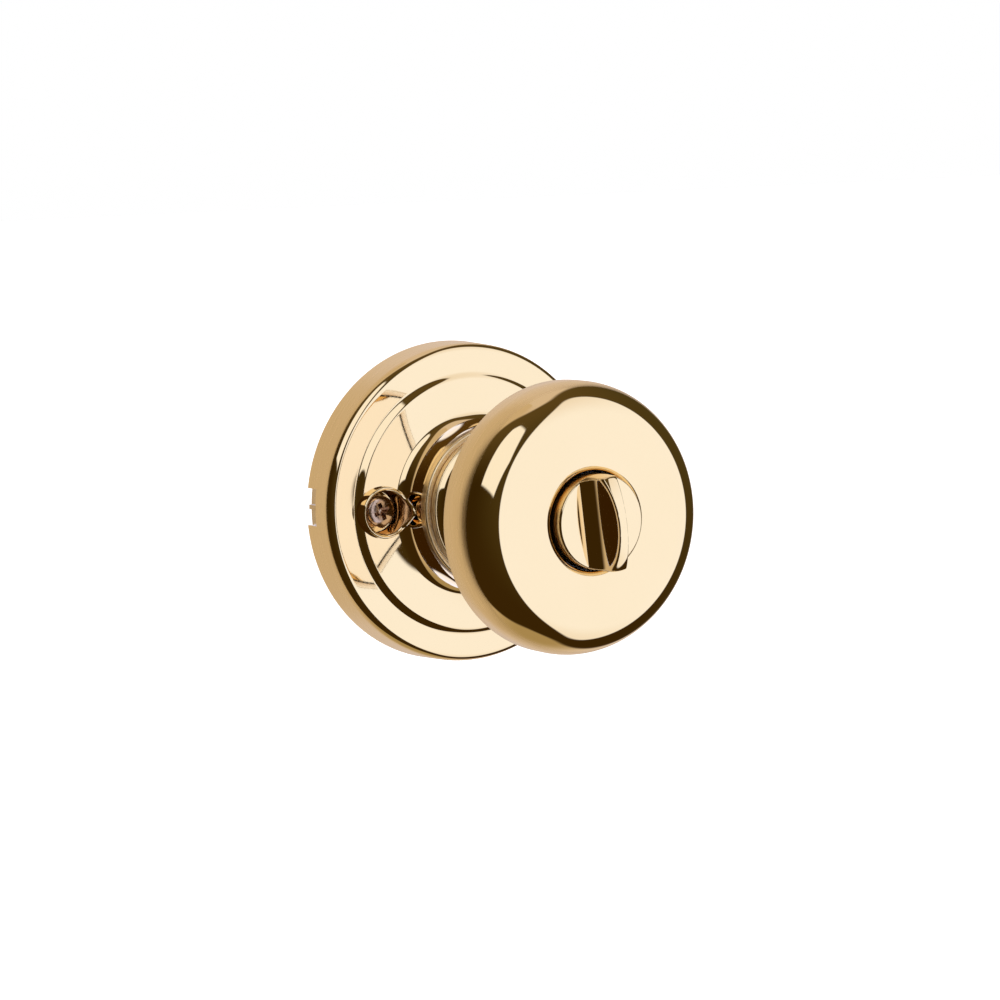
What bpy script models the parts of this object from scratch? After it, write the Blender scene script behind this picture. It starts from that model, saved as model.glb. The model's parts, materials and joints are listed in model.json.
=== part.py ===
"""Interior half of a tubular privacy door knob, as an assembly of its separate pieces.

The knob's axis is the world's Y axis and the door's face is the plane y = 0. The knob stands out along -Y,
the spindle runs into the door along +Y, and +Z is up. Every piece is modelled in a local frame whose Z axis
runs out of the door along the knob's axis and whose Y axis is up, and it hangs on an empty that turns this
frame into the world's. Heights below are distances from the door's face along that local Z axis.
"""

import math

import bmesh
import bpy
from mathutils import Matrix, Vector

MM = 0.001

# Clearances and the fineness of round pieces.
GAP = 0.3 * MM
HOLE_CLEARANCE = 0.45 * MM
MERGE = 0.01 * MM
BIG_STEPS = 32
MID_STEPS = 28
SMALL_STEPS = 18

# Rose, the stamped cover plate on the door.
ROSE_RADIUS = 32.6 * MM
ROSE_WALL = 0.7 * MM
ROSE_EDGE_HEIGHT = 8.7 * MM
ROSE_EDGE_ROUNDING = 2.0 * MM
ROSE_DRAFT = 0.3 * MM
ROSE_LAND_WIDTH = 4.3 * MM
ROSE_LAND_RISE = 0.4 * MM
ROSE_STEP_RISE = 1.1 * MM
ROSE_STEP_WIDTH = 1.3 * MM
COLLAR_HEIGHT = 19.4 * MM
COLLAR_BAND = 2.0 * MM
COLLAR_ROUNDING = 0.8 * MM
COLLAR_LIP_WIDTH = 3.0 * MM
COVE_WIDTH = 4.6 * MM
COVE_DEPTH = 6.2 * MM

# Screws through the rose, and the wells they sit in.
SCREW_RADIUS = 2.08 * MM
SCREW_HEAD_RADIUS = 3.1 * MM
SCREW_HEAD_HEIGHT = 2.0 * MM
SCREW_REACH = 14.0 * MM
SCREW_POINT = 0.8 * MM
CROSS_LENGTH = 3.5 * MM
CROSS_WIDTH = 0.8 * MM
CROSS_DEPTH = 1.2 * MM
WELL_RADIUS = 4.4 * MM
WELL_WALL = 0.9 * MM
WELL_FLOOR_WALL = 1.0 * MM
WELL_LIP_RISE = 1.9 * MM
WELL_TO_CAGE = 1.1 * MM
WELL_SHIFT = 0.6 * MM
LIP_INSET = 0.1 * MM

# Pry slot in the rose's rear rim.
PRY_ANGLE = math.radians(177.7)
PRY_WIDTH = 7.4 * MM
PRY_DEPTH = 3.4 * MM
NIB_WIDTH = 0.9 * MM
NIB_HEIGHT = 2.6 * MM

# Mounting plate, a dished disc behind the rose.
PLATE_WALL = 1.2 * MM
PLATE_HEIGHT = 5.8 * MM
PLATE_ROUNDING = 1.5 * MM

# Spring cage and what it holds, from the shank outwards.
CAGE_WALL = 0.8 * MM
CAGE_HEIGHT = 8.2 * MM
CAGE_CLEARANCE = 1.05 * MM
EAR_WIDTH = 9.0 * MM
RIVET_RADIUS = 1.4 * MM
RIVET_HEAD_RADIUS = 2.3 * MM
RIVET_HEAD_HEIGHT = 0.9 * MM
RIVET_TO_CAGE = 0.2 * MM
EAR_MARGIN = 0.1 * MM
SPRING_WIRE = 1.5 * MM
SPRING_CLEARANCE = 1.15 * MM
SPRING_LEG = 0.8 * MM
SPRING_TURNS = 2.25
SPRING_PITCH = 1.7 * MM
SPRING_START = math.radians(35)
SPRING_POINTS_PER_TURN = 18
DRIVER_WALL = 1.2 * MM
STOP_HALF_ANGLE = math.radians(5)
STOP_MARGIN = math.radians(2)
KNOB_SWING = math.radians(50)
STOP_TAB_DEPTH = 1.1 * MM

# Shank, the tube that carries the knob through the rose.
SHANK_RADIUS = 10.2 * MM
SHANK_WALL = 1.4 * MM
SHANK_SHOULDER_WIDTH = 1.1 * MM
SHANK_TAIL = 1.6 * MM
SHANK_TOP = 36.0 * MM
KEY_WIDTH = 1.8 * MM
KEY_DEPTH = 0.6 * MM
BUSHING_WALL = 2.4 * MM
BUSHING_FLANGE_INSET = 1.0 * MM
WASHER_WALL = 0.8 * MM
WASHER_WIDTH = 3.1 * MM
RING_WALL = 0.6 * MM
RING_WIDTH = 2.5 * MM
RING_GROOVE_DEPTH = 0.6 * MM
RING_OPENING = math.radians(24)
PIN_RADIUS = 1.0 * MM
PIN_HEIGHT = 30.0 * MM

# Knob shells.
KNOB_RADIUS = 26.5 * MM
KNOB_REAR = 44.9 * MM
KNOB_BAND = 3.2 * MM
KNOB_ROUNDING = 8.1 * MM
KNOB_CROWN_RADIUS = 158.0 * MM
KNOB_WALL = 0.9 * MM
BACK_WALL = 0.9 * MM
NECK_CLEARANCE = 0.4 * MM
NECK_RING_INSET = 1.0 * MM
NECK_RING_BAND = 1.7 * MM
NECK_RING_ROUNDING = 0.4 * MM
NECK_COVE_HEIGHT = 5.0 * MM
NECK_STRAIGHT = 2.0 * MM

# Core casting inside the knob.
CORE_FLANGE = 2.0 * MM
CORE_SPIGOT_FOOT = 24.0 * MM
CORE_CAVITY_RADIUS = 6.6 * MM
CORE_SEAT_DEPTH = 6.5 * MM
CORE_BOSS_INSET = 1.0 * MM

# Turn button in the knob's face.
BUTTON_RADIUS = 9.15 * MM
BUTTON_RIM_ROUNDING = 0.4 * MM
BUTTON_CLEARANCE = 0.45 * MM
BUTTON_PROUD = 2.2 * MM
BUTTON_DISC = 4.7 * MM
HOLE_ROUNDING = 1.2 * MM
HOLE_DEPTH = 3.8 * MM
BUTTON_LEAN = math.radians(5.2)
STEM_RADIUS = 4.0 * MM
STEM_LENGTH = 12.3 * MM
THUMB_HALF_LENGTH = 8.2 * MM
THUMB_HALF_WIDTH = 3.9 * MM
THUMB_CREST_HALF_WIDTH = 0.9 * MM
THUMB_HEIGHT = 8.0 * MM
THUMB_END_DROP = 2.5 * MM
THUMB_SCOOP_WIDTH = 6.0 * MM
THUMB_CREST_RISE = 0.9 * MM
THUMB_END_INSET = 0.05 * MM
CLIP_WALL = 0.8 * MM
CLIP_GROOVE_DEPTH = 0.8 * MM
CLIP_RADIUS = 6.2 * MM
CLIP_OPENING = math.radians(35)
WAVE_WALL = 0.25 * MM
WAVE_RISE = 0.12 * MM
WAVE_COUNT = 3

# Spindle and lock bar, which run through the latch.
SPINDLE_RADIUS = 4.0 * MM
SPINDLE_BORE = 3.1 * MM
SPINDLE_FLAT = 2.6 * MM
SPINDLE_REACH = 44.0 * MM
LOCK_BAR_WIDTH = 5.0 * MM
LOCK_BAR_WALL = 1.3 * MM
LOCK_BAR_REACH = 44.0 * MM
LOCK_BAR_TANG = 4.0 * MM

# Heights and radii that follow from the sizes above.
FACE_SLOPE = math.asin((KNOB_RADIUS - KNOB_ROUNDING) / (KNOB_CROWN_RADIUS - KNOB_ROUNDING))
ROUNDING_HEIGHT = KNOB_REAR + KNOB_BAND
CROWN_CENTRE = ROUNDING_HEIGHT - (KNOB_CROWN_RADIUS - KNOB_ROUNDING) * math.cos(FACE_SLOPE)
HOLE_RADIUS = BUTTON_RADIUS + BUTTON_CLEARANCE
HOLE_MOUTH_RADIUS = HOLE_RADIUS + HOLE_ROUNDING
FACE_HEIGHT = CROWN_CENTRE + math.sqrt(KNOB_CROWN_RADIUS**2 - HOLE_MOUTH_RADIUS**2)
BUTTON_FACE = FACE_HEIGHT + BUTTON_PROUD
BUTTON_FOOT = BUTTON_FACE - BUTTON_DISC
CORE_TOP = FACE_HEIGHT - HOLE_DEPTH
CORE_SEAT = CORE_TOP - CORE_SEAT_DEPTH
STEM_FOOT = BUTTON_FOOT - STEM_LENGTH
SPINDLE_TOP = STEM_FOOT - 3 * GAP
CORE_BOSS_RADIUS = HOLE_RADIUS - CORE_BOSS_INSET
SHANK_BORE = SHANK_RADIUS - SHANK_WALL
SHANK_SHOULDER_RADIUS = SHANK_RADIUS + SHANK_SHOULDER_WIDTH
SPRING_RADIUS = SHANK_RADIUS + SPRING_CLEARANCE + SPRING_WIRE / 2
CAGE_INNER_RADIUS = SPRING_RADIUS + SPRING_WIRE / 2 + CAGE_CLEARANCE
CAGE_RADIUS = CAGE_INNER_RADIUS + CAGE_WALL
RIVET_OFFSET = CAGE_RADIUS + RIVET_TO_CAGE + RIVET_HEAD_RADIUS
EAR_REACH = RIVET_OFFSET + RIVET_HEAD_RADIUS + EAR_MARGIN
WELL_OFFSET = CAGE_RADIUS + WELL_TO_CAGE + WELL_WALL + WELL_RADIUS
SCREW_OFFSET = WELL_OFFSET - WELL_SHIFT
BUSHING_BORE = SHANK_RADIUS + GAP
BUSHING_NOSE_RADIUS = BUSHING_BORE + BUSHING_WALL
LIP_RADIUS = BUSHING_NOSE_RADIUS + GAP
COLLAR_RADIUS = LIP_RADIUS + COLLAR_LIP_WIDTH
NECK_RADIUS = SHANK_SHOULDER_RADIUS + NECK_CLEARANCE + BACK_WALL
NECK_RING_RADIUS = COLLAR_RADIUS - NECK_RING_INSET
COVE_TOP = COLLAR_HEIGHT - COLLAR_BAND
COVE_FOOT = COVE_TOP - COVE_DEPTH
ROSE_FRONT_RADIUS = ROSE_RADIUS - ROSE_DRAFT
LAND_OUTER = ROSE_FRONT_RADIUS - ROSE_EDGE_ROUNDING
STEP_OUTER = LAND_OUTER - ROSE_LAND_WIDTH + ROSE_STEP_WIDTH / 2
STEP_INNER = STEP_OUTER - ROSE_STEP_WIDTH
STEP_FOOT_HEIGHT = ROSE_EDGE_HEIGHT + ROSE_LAND_RISE
STEP_TOP_HEIGHT = STEP_FOOT_HEIGHT + ROSE_STEP_RISE
WELL_TOP = COVE_FOOT + WELL_LIP_RISE
PLATE_RADIUS = ROSE_RADIUS - ROSE_WALL - GAP
PLATE_BACK = PLATE_HEIGHT - PLATE_WALL
WELL_FLOOR_BACK = PLATE_HEIGHT + GAP
WELL_FLOOR = WELL_FLOOR_BACK + WELL_FLOOR_WALL
SCREW_SEAT = WELL_FLOOR + GAP
CAGE_FOOT = PLATE_HEIGHT + GAP
CAGE_TOP = CAGE_FOOT + CAGE_HEIGHT
DRIVER_TOP = CAGE_TOP - CAGE_WALL - GAP
DRIVER_FOOT = DRIVER_TOP - DRIVER_WALL
DRIVER_RADIUS = CAGE_INNER_RADIUS - HOLE_CLEARANCE
DRIVER_BORE = SHANK_RADIUS + GAP
BUSHING_FOOT = CAGE_TOP + GAP
BUSHING_SHOULDER = COLLAR_HEIGHT - ROSE_WALL - GAP
BUSHING_TOP = COLLAR_HEIGHT - GAP
BUSHING_FLANGE_RADIUS = COLLAR_RADIUS - ROSE_WALL - BUSHING_FLANGE_INSET
SHANK_SHOULDER = BUSHING_TOP + GAP
NECK_FOOT = COLLAR_HEIGHT + GAP
NECK_RING_TOP = NECK_FOOT + NECK_RING_BAND
WASHER_TOP = PLATE_BACK - GAP
WASHER_FOOT = WASHER_TOP - WASHER_WALL
RING_TOP = WASHER_FOOT - GAP
RING_FOOT = RING_TOP - RING_WALL
RING_GROOVE_RADIUS = SHANK_RADIUS - RING_GROOVE_DEPTH
CORE_FLANGE_FOOT = KNOB_REAR + BACK_WALL + GAP
CORE_SPIGOT_RADIUS = SHANK_BORE - GAP
CORE_BORE = STEM_RADIUS + GAP
SPINDLE_COLLAR_BORE = SPINDLE_RADIUS + GAP
SPINDLE_COLLAR_RADIUS = CORE_CAVITY_RADIUS - GAP
CLIP_TOP = CORE_SEAT - GAP
CLIP_FOOT = CLIP_TOP - CLIP_WALL
STEM_GROOVE_RADIUS = STEM_RADIUS - CLIP_GROOVE_DEPTH


def clear_scene():
    """Remove every object of the scene."""
    for item in list(bpy.data.objects):
        bpy.data.objects.remove(item, do_unlink=True)


def new_collection(name):
    collection = bpy.data.collections.new(name)
    bpy.context.scene.collection.children.link(collection)
    return collection


def new_material(name, colour, roughness, metallic):
    material = bpy.data.materials.new(name)
    material.use_nodes = True
    shader = material.node_tree.nodes["Principled BSDF"]
    shader.inputs["Base Color"].default_value = (*colour, 1.0)
    shader.inputs["Roughness"].default_value = roughness
    shader.inputs["Metallic"].default_value = metallic
    return material


def new_axis_empty(name, turn=0.0, parent=None):
    """An empty on the knob's axis. The first turns local Z to world -Y, and its children only spin on it."""
    empty = bpy.data.objects.new(name, None)
    parts.objects.link(empty)
    if parent is None:
        empty.rotation_euler = (math.radians(90), 0.0, 0.0)
    else:
        empty.parent = parent
        empty.rotation_euler = (0.0, 0.0, turn)
    return empty


def add_piece(name, mesh, body, material):
    """A visible piece of the object, which rides on one of the axis empties."""
    piece = bpy.data.objects.new(name, mesh)
    parts.objects.link(piece)
    piece.parent = body
    mesh.materials.clear()
    mesh.materials.append(material)
    return piece


def add_cutter(name, mesh, body):
    """A helper solid for a Boolean, which isn't part of the object."""
    cutter = bpy.data.objects.new(name, mesh)
    cutters.objects.link(cutter)
    cutter.parent = body
    cutter.hide_render = True
    cutter.display_type = "WIRE"
    return cutter


def boolean(piece, other, operation="DIFFERENCE"):
    modifier = piece.modifiers.new(operation.title() + " " + other.name, "BOOLEAN")
    modifier.operation = operation
    modifier.solver = "EXACT"
    modifier.object = other
    return modifier


def arc(centre_r, centre_h, size_r, size_h, start, end, steps=5):
    """Points of an elliptical arc in a profile, from start to end in degrees."""
    points = []
    for step in range(steps + 1):
        angle = math.radians(start + (end - start) * step / steps)
        points.append((centre_r + size_r * math.cos(angle), centre_h + size_h * math.sin(angle)))
    return points


def profile_mesh(name, profile, closed):
    """The mesh of a profile in the local XZ plane, as vertices and edges for a Screw modifier."""
    mesh = bmesh.new()
    points = [mesh.verts.new((r, 0.0, h)) for r, h in profile]
    for start, end in zip(points, points[1:]):
        mesh.edges.new((start, end))
    if closed:
        mesh.edges.new((points[-1], points[0]))
    data = bpy.data.meshes.new(name)
    mesh.to_mesh(data)
    mesh.free()
    return data


def spin(piece, steps):
    """Turn a profile about the local Z axis."""
    modifier = piece.modifiers.new("Turn", "SCREW")
    modifier.axis = "Z"
    modifier.angle = math.radians(360)
    modifier.steps = steps
    modifier.render_steps = steps
    modifier.use_merge_vertices = True
    modifier.merge_threshold = MERGE
    modifier.use_smooth_shade = True


def turned(name, profile, body, material=None, steps=MID_STEPS, closed=True):
    """A turned piece, or a cutter where no material is given. The profile runs down its outer side."""
    mesh = profile_mesh(name, profile, closed)
    piece = add_piece(name, mesh, body, material) if material else add_cutter(name, mesh, body)
    spin(piece, steps)
    return piece


def turned_shell(name, profile, wall, body, material, steps=BIG_STEPS):
    """A stamped shell: the open outer profile, turned and thickened inwards."""
    piece = turned(name, profile, body, material, steps, closed=False)
    modifier = piece.modifiers.new("Wall", "SOLIDIFY")
    modifier.thickness = wall
    modifier.offset = -1.0
    modifier.use_even_offset = True
    return piece


def ring_profile(inner, outer, low, high):
    """The profile of a plain ring, clockwise from its inner top corner."""
    return [(inner, high), (outer, high), (outer, low), (inner, low)]


def cylinder_mesh(name, radius, low, high, centre=(0.0, 0.0), steps=SMALL_STEPS):
    """A cylinder between two heights. Flats, not corners, face the axes, so cuts miss the pieces' edges."""
    mesh = bmesh.new()
    middle = Matrix.Translation((centre[0], centre[1], (low + high) / 2))
    place = middle @ Matrix.Rotation(math.pi / steps, 4, "Z")
    bmesh.ops.create_cone(
        mesh,
        cap_ends=True,
        segments=steps,
        radius1=radius,
        radius2=radius,
        depth=high - low,
        matrix=place,
    )
    data = bpy.data.meshes.new(name)
    mesh.to_mesh(data)
    mesh.free()
    return data


def box_mesh(name, low, high, turn=0.0):
    """A box between two corners, then turned about the local Z axis."""
    low = Vector(low)
    high = Vector(high)
    size = high - low
    mesh = bmesh.new()
    place = (
        Matrix.Rotation(turn, 4, "Z")
        @ Matrix.Translation((low + high) / 2)
        @ Matrix.Diagonal((size.x, size.y, size.z, 1.0))
    )
    bmesh.ops.create_cube(mesh, size=1.0, matrix=place)
    data = bpy.data.meshes.new(name)
    mesh.to_mesh(data)
    mesh.free()
    return data


def outline_mesh(name, outline, thickness):
    """A flat plate from a closed outline in the local XY plane, centred on it, as a welded mesh."""
    curve = bpy.data.curves.new(name, "CURVE")
    curve.dimensions = "2D"
    curve.fill_mode = "BOTH"
    curve.extrude = thickness / 2
    spline = curve.splines.new("POLY")
    spline.points.add(len(outline) - 1)
    for point, (x, y) in zip(spline.points, outline):
        point.co = (x, y, 0.0, 1.0)
    spline.use_cyclic_u = True
    return welded_mesh(name, curve)


def welded_mesh(name, curve):
    """The mesh that a curve makes, with its caps welded on. The curve is removed."""
    holder = bpy.data.objects.new(name + "_curve", curve)
    bpy.context.scene.collection.objects.link(holder)
    graph = bpy.context.evaluated_depsgraph_get()
    data = bpy.data.meshes.new_from_object(holder.evaluated_get(graph))
    data.name = name
    bpy.data.objects.remove(holder, do_unlink=True)
    bpy.data.curves.remove(curve)
    mesh = bmesh.new()
    mesh.from_mesh(data)
    bmesh.ops.remove_doubles(mesh, verts=mesh.verts, dist=MERGE)
    bmesh.ops.recalc_face_normals(mesh, faces=mesh.faces)
    mesh.to_mesh(data)
    mesh.free()
    return data


def moved_mesh(data, place):
    data.transform(place)
    return data


def open_ring_outline(inner, outer, opening, turn, steps=16):
    """The outline of a flat ring with a gap of twice the angle opening, facing the direction turn."""
    start = turn + opening
    sweep = 2 * math.pi - 2 * opening
    outline = []
    for step in range(steps + 1):
        angle = start + sweep * step / steps
        outline.append((outer * math.cos(angle), outer * math.sin(angle)))
    for step in range(steps + 1):
        angle = start + sweep * (steps - step) / steps
        outline.append((inner * math.cos(angle), inner * math.sin(angle)))
    return outline


def open_ring(name, inner, outer, opening, turn, low, high, body, material):
    """A flat split ring between two heights."""
    data = outline_mesh(name, open_ring_outline(inner, outer, opening, turn), high - low)
    moved_mesh(data, Matrix.Translation((0.0, 0.0, (low + high) / 2)))
    return add_piece(name, data, body, material)


def rose_profile():
    """The rose's outer face, from the collar's lip out and down to the rim on the door."""
    profile = [(LIP_RADIUS, COLLAR_HEIGHT)]
    profile += arc(
        COLLAR_RADIUS - COLLAR_ROUNDING,
        COLLAR_HEIGHT - COLLAR_ROUNDING,
        COLLAR_ROUNDING,
        COLLAR_ROUNDING,
        90,
        0,
        steps=3,
    )
    profile += arc(COLLAR_RADIUS + COVE_WIDTH, COVE_TOP, COVE_WIDTH, COVE_DEPTH, 180, 270, steps=6)
    step_middle = (STEP_TOP_HEIGHT + STEP_FOOT_HEIGHT) / 2
    blend = 0.3 * ROSE_STEP_RISE
    profile += [
        (STEP_INNER - blend, STEP_TOP_HEIGHT + 0.1 * blend),
        (STEP_INNER + blend, STEP_TOP_HEIGHT - blend),
        ((STEP_INNER + STEP_OUTER) / 2, step_middle),
        (STEP_OUTER - blend, STEP_FOOT_HEIGHT + blend),
        (STEP_OUTER + blend, STEP_FOOT_HEIGHT),
    ]
    profile += arc(
        LAND_OUTER,
        ROSE_EDGE_HEIGHT - ROSE_EDGE_ROUNDING,
        ROSE_EDGE_ROUNDING,
        ROSE_EDGE_ROUNDING,
        90,
        0,
        steps=4,
    )
    profile.append((ROSE_RADIUS, 0.0))
    return profile


def add_screw_well(rose, side, name):
    """Form one screw well: a boss down to the plate, a lip proud of the face, and its bore and hole."""
    centre = (side * WELL_OFFSET, 0.0)
    outer = WELL_RADIUS + WELL_WALL
    cover = [(0.0, COLLAR_HEIGHT)] + rose_profile()
    inside = [(r, h - ROSE_WALL / 4) for r, h in cover] + [(0.0, -ROSE_WALL)]
    envelope = turned("rose_inside_" + name, inside, root, steps=BIG_STEPS)
    boss_mesh = cylinder_mesh("well_boss_" + name, outer, WELL_FLOOR_BACK, COLLAR_HEIGHT, centre)
    boss = add_cutter("well_boss_" + name, boss_mesh, root)
    boolean(boss, envelope, "INTERSECT")
    lip_mesh = cylinder_mesh("well_lip_" + name, outer - LIP_INSET, WELL_FLOOR, WELL_TOP, centre)
    above = 2 * COLLAR_HEIGHT
    bore_mesh = cylinder_mesh("well_bore_" + name, WELL_RADIUS, WELL_FLOOR, above, centre)
    screw_centre = (side * SCREW_OFFSET, 0.0)
    hole_radius = SCREW_RADIUS + HOLE_CLEARANCE
    hole_mesh = cylinder_mesh("well_hole_" + name, hole_radius, 0.0, 2 * WELL_FLOOR, screw_centre)
    boolean(rose, boss, "UNION")
    boolean(rose, add_cutter("well_lip_" + name, lip_mesh, root), "UNION")
    boolean(rose, add_cutter("well_bore_" + name, bore_mesh, root))
    boolean(rose, add_cutter("well_hole_" + name, hole_mesh, root))


def spring_place(turns):
    """Where the spring's wire is after a number of turns, seen along the axis."""
    angle = SPRING_START + 2 * math.pi * turns
    return (SPRING_RADIUS * math.cos(angle), SPRING_RADIUS * math.sin(angle))


def build_rose():
    rose = turned_shell("rose", rose_profile(), ROSE_WALL, root, brass)
    for side, name in ((-1, "left"), (1, "right")):
        add_screw_well(rose, side, name)
    slot_mesh = box_mesh(
        "pry_slot",
        (ROSE_RADIUS - 2 * ROSE_WALL, -PRY_WIDTH / 2, -PRY_DEPTH),
        (ROSE_RADIUS + 2 * ROSE_WALL, PRY_WIDTH / 2, PRY_DEPTH),
        PRY_ANGLE,
    )
    boolean(rose, add_cutter("pry_slot", slot_mesh, root))


def build_mounting_plate():
    """A dished steel disc whose rim stands on the door, with the nib that shows in the pry slot."""
    inner = SHANK_RADIUS + HOLE_CLEARANCE
    rounding = PLATE_ROUNDING
    bend = rounding - PLATE_WALL / 2
    profile = [(inner, PLATE_HEIGHT)]
    profile += arc(PLATE_RADIUS - rounding, PLATE_HEIGHT - rounding, rounding, rounding, 90, 0, steps=3)
    profile += [(PLATE_RADIUS, 0.0), (PLATE_RADIUS - PLATE_WALL, 0.0)]
    profile += [
        (PLATE_RADIUS - PLATE_WALL, PLATE_BACK - bend),
        (PLATE_RADIUS - PLATE_WALL - bend, PLATE_BACK),
        (inner, PLATE_BACK),
    ]
    plate = turned("mounting_plate", profile, root, steel, steps=BIG_STEPS)
    nib_mesh = box_mesh(
        "nib",
        (PLATE_RADIUS - PLATE_WALL / 2, -NIB_WIDTH / 2, GAP),
        (ROSE_RADIUS - ROSE_WALL / 2, NIB_WIDTH / 2, GAP + NIB_HEIGHT),
        PRY_ANGLE,
    )
    boolean(plate, add_cutter("nib", nib_mesh, root), "UNION")
    holes = [
        ("plate_hole_left", SCREW_RADIUS + HOLE_CLEARANCE, -SCREW_OFFSET, 0.0),
        ("plate_hole_right", SCREW_RADIUS + HOLE_CLEARANCE, SCREW_OFFSET, 0.0),
        ("rivet_hole_top", RIVET_RADIUS + GAP, 0.0, RIVET_OFFSET),
        ("rivet_hole_bottom", RIVET_RADIUS + GAP, 0.0, -RIVET_OFFSET),
        ("spring_hole", SPRING_WIRE / 2 + GAP, *spring_place(0.0)),
    ]
    for name, radius, x, y in holes:
        mesh = cylinder_mesh(name, radius, 0.0, 2 * PLATE_HEIGHT, (x, y), steps=12)
        boolean(plate, add_cutter(name, mesh, root))


def build_spring_cage():
    """A cup round the spring with two riveted ears, and the tab that stops the driver both ways."""
    profile = [
        (SHANK_RADIUS + HOLE_CLEARANCE, CAGE_TOP),
        (CAGE_RADIUS - CAGE_WALL, CAGE_TOP),
        (CAGE_RADIUS, CAGE_TOP - CAGE_WALL),
        (CAGE_RADIUS, CAGE_FOOT),
        (CAGE_INNER_RADIUS, CAGE_FOOT),
        (CAGE_INNER_RADIUS, CAGE_TOP - CAGE_WALL),
        (SHANK_RADIUS + HOLE_CLEARANCE, CAGE_TOP - CAGE_WALL),
    ]
    cage = turned("spring_cage", profile, root, steel)
    wall_middle = CAGE_INNER_RADIUS + CAGE_WALL / 2
    for name, side in (("top", 1), ("bottom", -1)):
        edges = sorted((side * wall_middle, side * EAR_REACH))
        ear_mesh = box_mesh(
            "ear_" + name,
            (-EAR_WIDTH / 2, edges[0], CAGE_FOOT),
            (EAR_WIDTH / 2, edges[1], CAGE_FOOT + CAGE_WALL + GAP),
        )
        boolean(cage, add_cutter("ear_" + name, ear_mesh, root), "UNION")
        hole_mesh = cylinder_mesh(
            "ear_hole_" + name,
            RIVET_RADIUS + GAP,
            0.0,
            2 * CAGE_FOOT,
            (0.0, side * RIVET_OFFSET),
            steps=12,
        )
        boolean(cage, add_cutter("ear_hole_" + name, hole_mesh, root))
    tab_half = CAGE_INNER_RADIUS * math.sin(STOP_HALF_ANGLE)
    tab_mesh = box_mesh(
        "stop_tab",
        (-tab_half, -wall_middle, DRIVER_FOOT),
        (tab_half, -CAGE_INNER_RADIUS + STOP_TAB_DEPTH, CAGE_TOP - CAGE_WALL / 2),
    )
    boolean(cage, add_cutter("stop_tab", tab_mesh, root), "UNION")


def build_rivets():
    front = CAGE_FOOT + CAGE_WALL + 2 * GAP
    back = PLATE_BACK - GAP
    head = RIVET_HEAD_HEIGHT
    profile = arc(0.0, front, RIVET_HEAD_RADIUS, head, 90, 0, steps=3)
    profile += [(RIVET_RADIUS, front), (RIVET_RADIUS, back)]
    profile += arc(0.0, back, RIVET_HEAD_RADIUS, head, 0, -90, steps=3)
    for name, side in (("top", 1), ("bottom", -1)):
        rivet = turned("cage_rivet_" + name, profile, root, steel, steps=16, closed=False)
        rivet.location = (0.0, side * RIVET_OFFSET, 0.0)


def build_mounting_screws():
    """Two pan-head machine screws with a cross recess."""
    shoulder = 0.7 * SCREW_HEAD_HEIGHT
    crown = SCREW_HEAD_HEIGHT - shoulder
    foot = -SCREW_REACH
    profile = arc(0.0, SCREW_SEAT + shoulder, SCREW_HEAD_RADIUS, crown, 90, 0, steps=4)
    profile += [
        (SCREW_HEAD_RADIUS, SCREW_SEAT),
        (SCREW_RADIUS, SCREW_SEAT),
        (SCREW_RADIUS, foot + SCREW_POINT),
        (SCREW_RADIUS - SCREW_POINT, foot),
        (0.0, foot),
    ]
    top = SCREW_SEAT + SCREW_HEAD_HEIGHT
    for name, side in (("left", -1), ("right", 1)):
        screw = turned("mounting_screw_" + name, profile, root, screw_steel, SMALL_STEPS, closed=False)
        screw.location = (side * SCREW_OFFSET, 0.0, 0.0)
        for blade, turn in (("a", math.radians(20)), ("b", math.radians(110))):
            cut = "cross_" + name + "_" + blade
            blade_mesh = box_mesh(
                cut,
                (-CROSS_LENGTH / 2, -CROSS_WIDTH / 2, top - CROSS_DEPTH),
                (CROSS_LENGTH / 2, CROSS_WIDTH / 2, top + CROSS_DEPTH),
                turn,
            )
            cutter = add_cutter(cut, blade_mesh, root)
            cutter.location = screw.location
            boolean(screw, cutter)


def build_return_spring():
    """A torsion spring with an axial leg at each end, one in the plate and one in the driver."""
    start_height = PLATE_HEIGHT + GAP + SPRING_WIRE / 2
    count = round(SPRING_TURNS * SPRING_POINTS_PER_TURN)
    route = [(*spring_place(0.0), PLATE_HEIGHT - SPRING_LEG)]
    for step in range(count + 1):
        turns = SPRING_TURNS * step / count
        route.append((*spring_place(turns), start_height + SPRING_PITCH * turns))
    route.append((route[-1][0], route[-1][1], DRIVER_FOOT + SPRING_LEG))
    curve = bpy.data.curves.new("return_spring", "CURVE")
    curve.dimensions = "3D"
    curve.bevel_depth = SPRING_WIRE / 2
    curve.bevel_resolution = 2
    curve.use_fill_caps = True
    spline = curve.splines.new("POLY")
    spline.points.add(len(route) - 1)
    for point, place in zip(spline.points, route):
        point.co = (*place, 1.0)
    add_piece("return_spring", welded_mesh("return_spring", curve), root, spring_steel)


def build_rose_bushing():
    profile = [
        (BUSHING_BORE, BUSHING_TOP),
        (BUSHING_NOSE_RADIUS, BUSHING_TOP),
        (BUSHING_NOSE_RADIUS, BUSHING_SHOULDER),
        (BUSHING_FLANGE_RADIUS, BUSHING_SHOULDER),
        (BUSHING_FLANGE_RADIUS, BUSHING_FOOT),
        (BUSHING_BORE, BUSHING_FOOT),
    ]
    turned("rose_bushing", profile, root, nylon)


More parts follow.
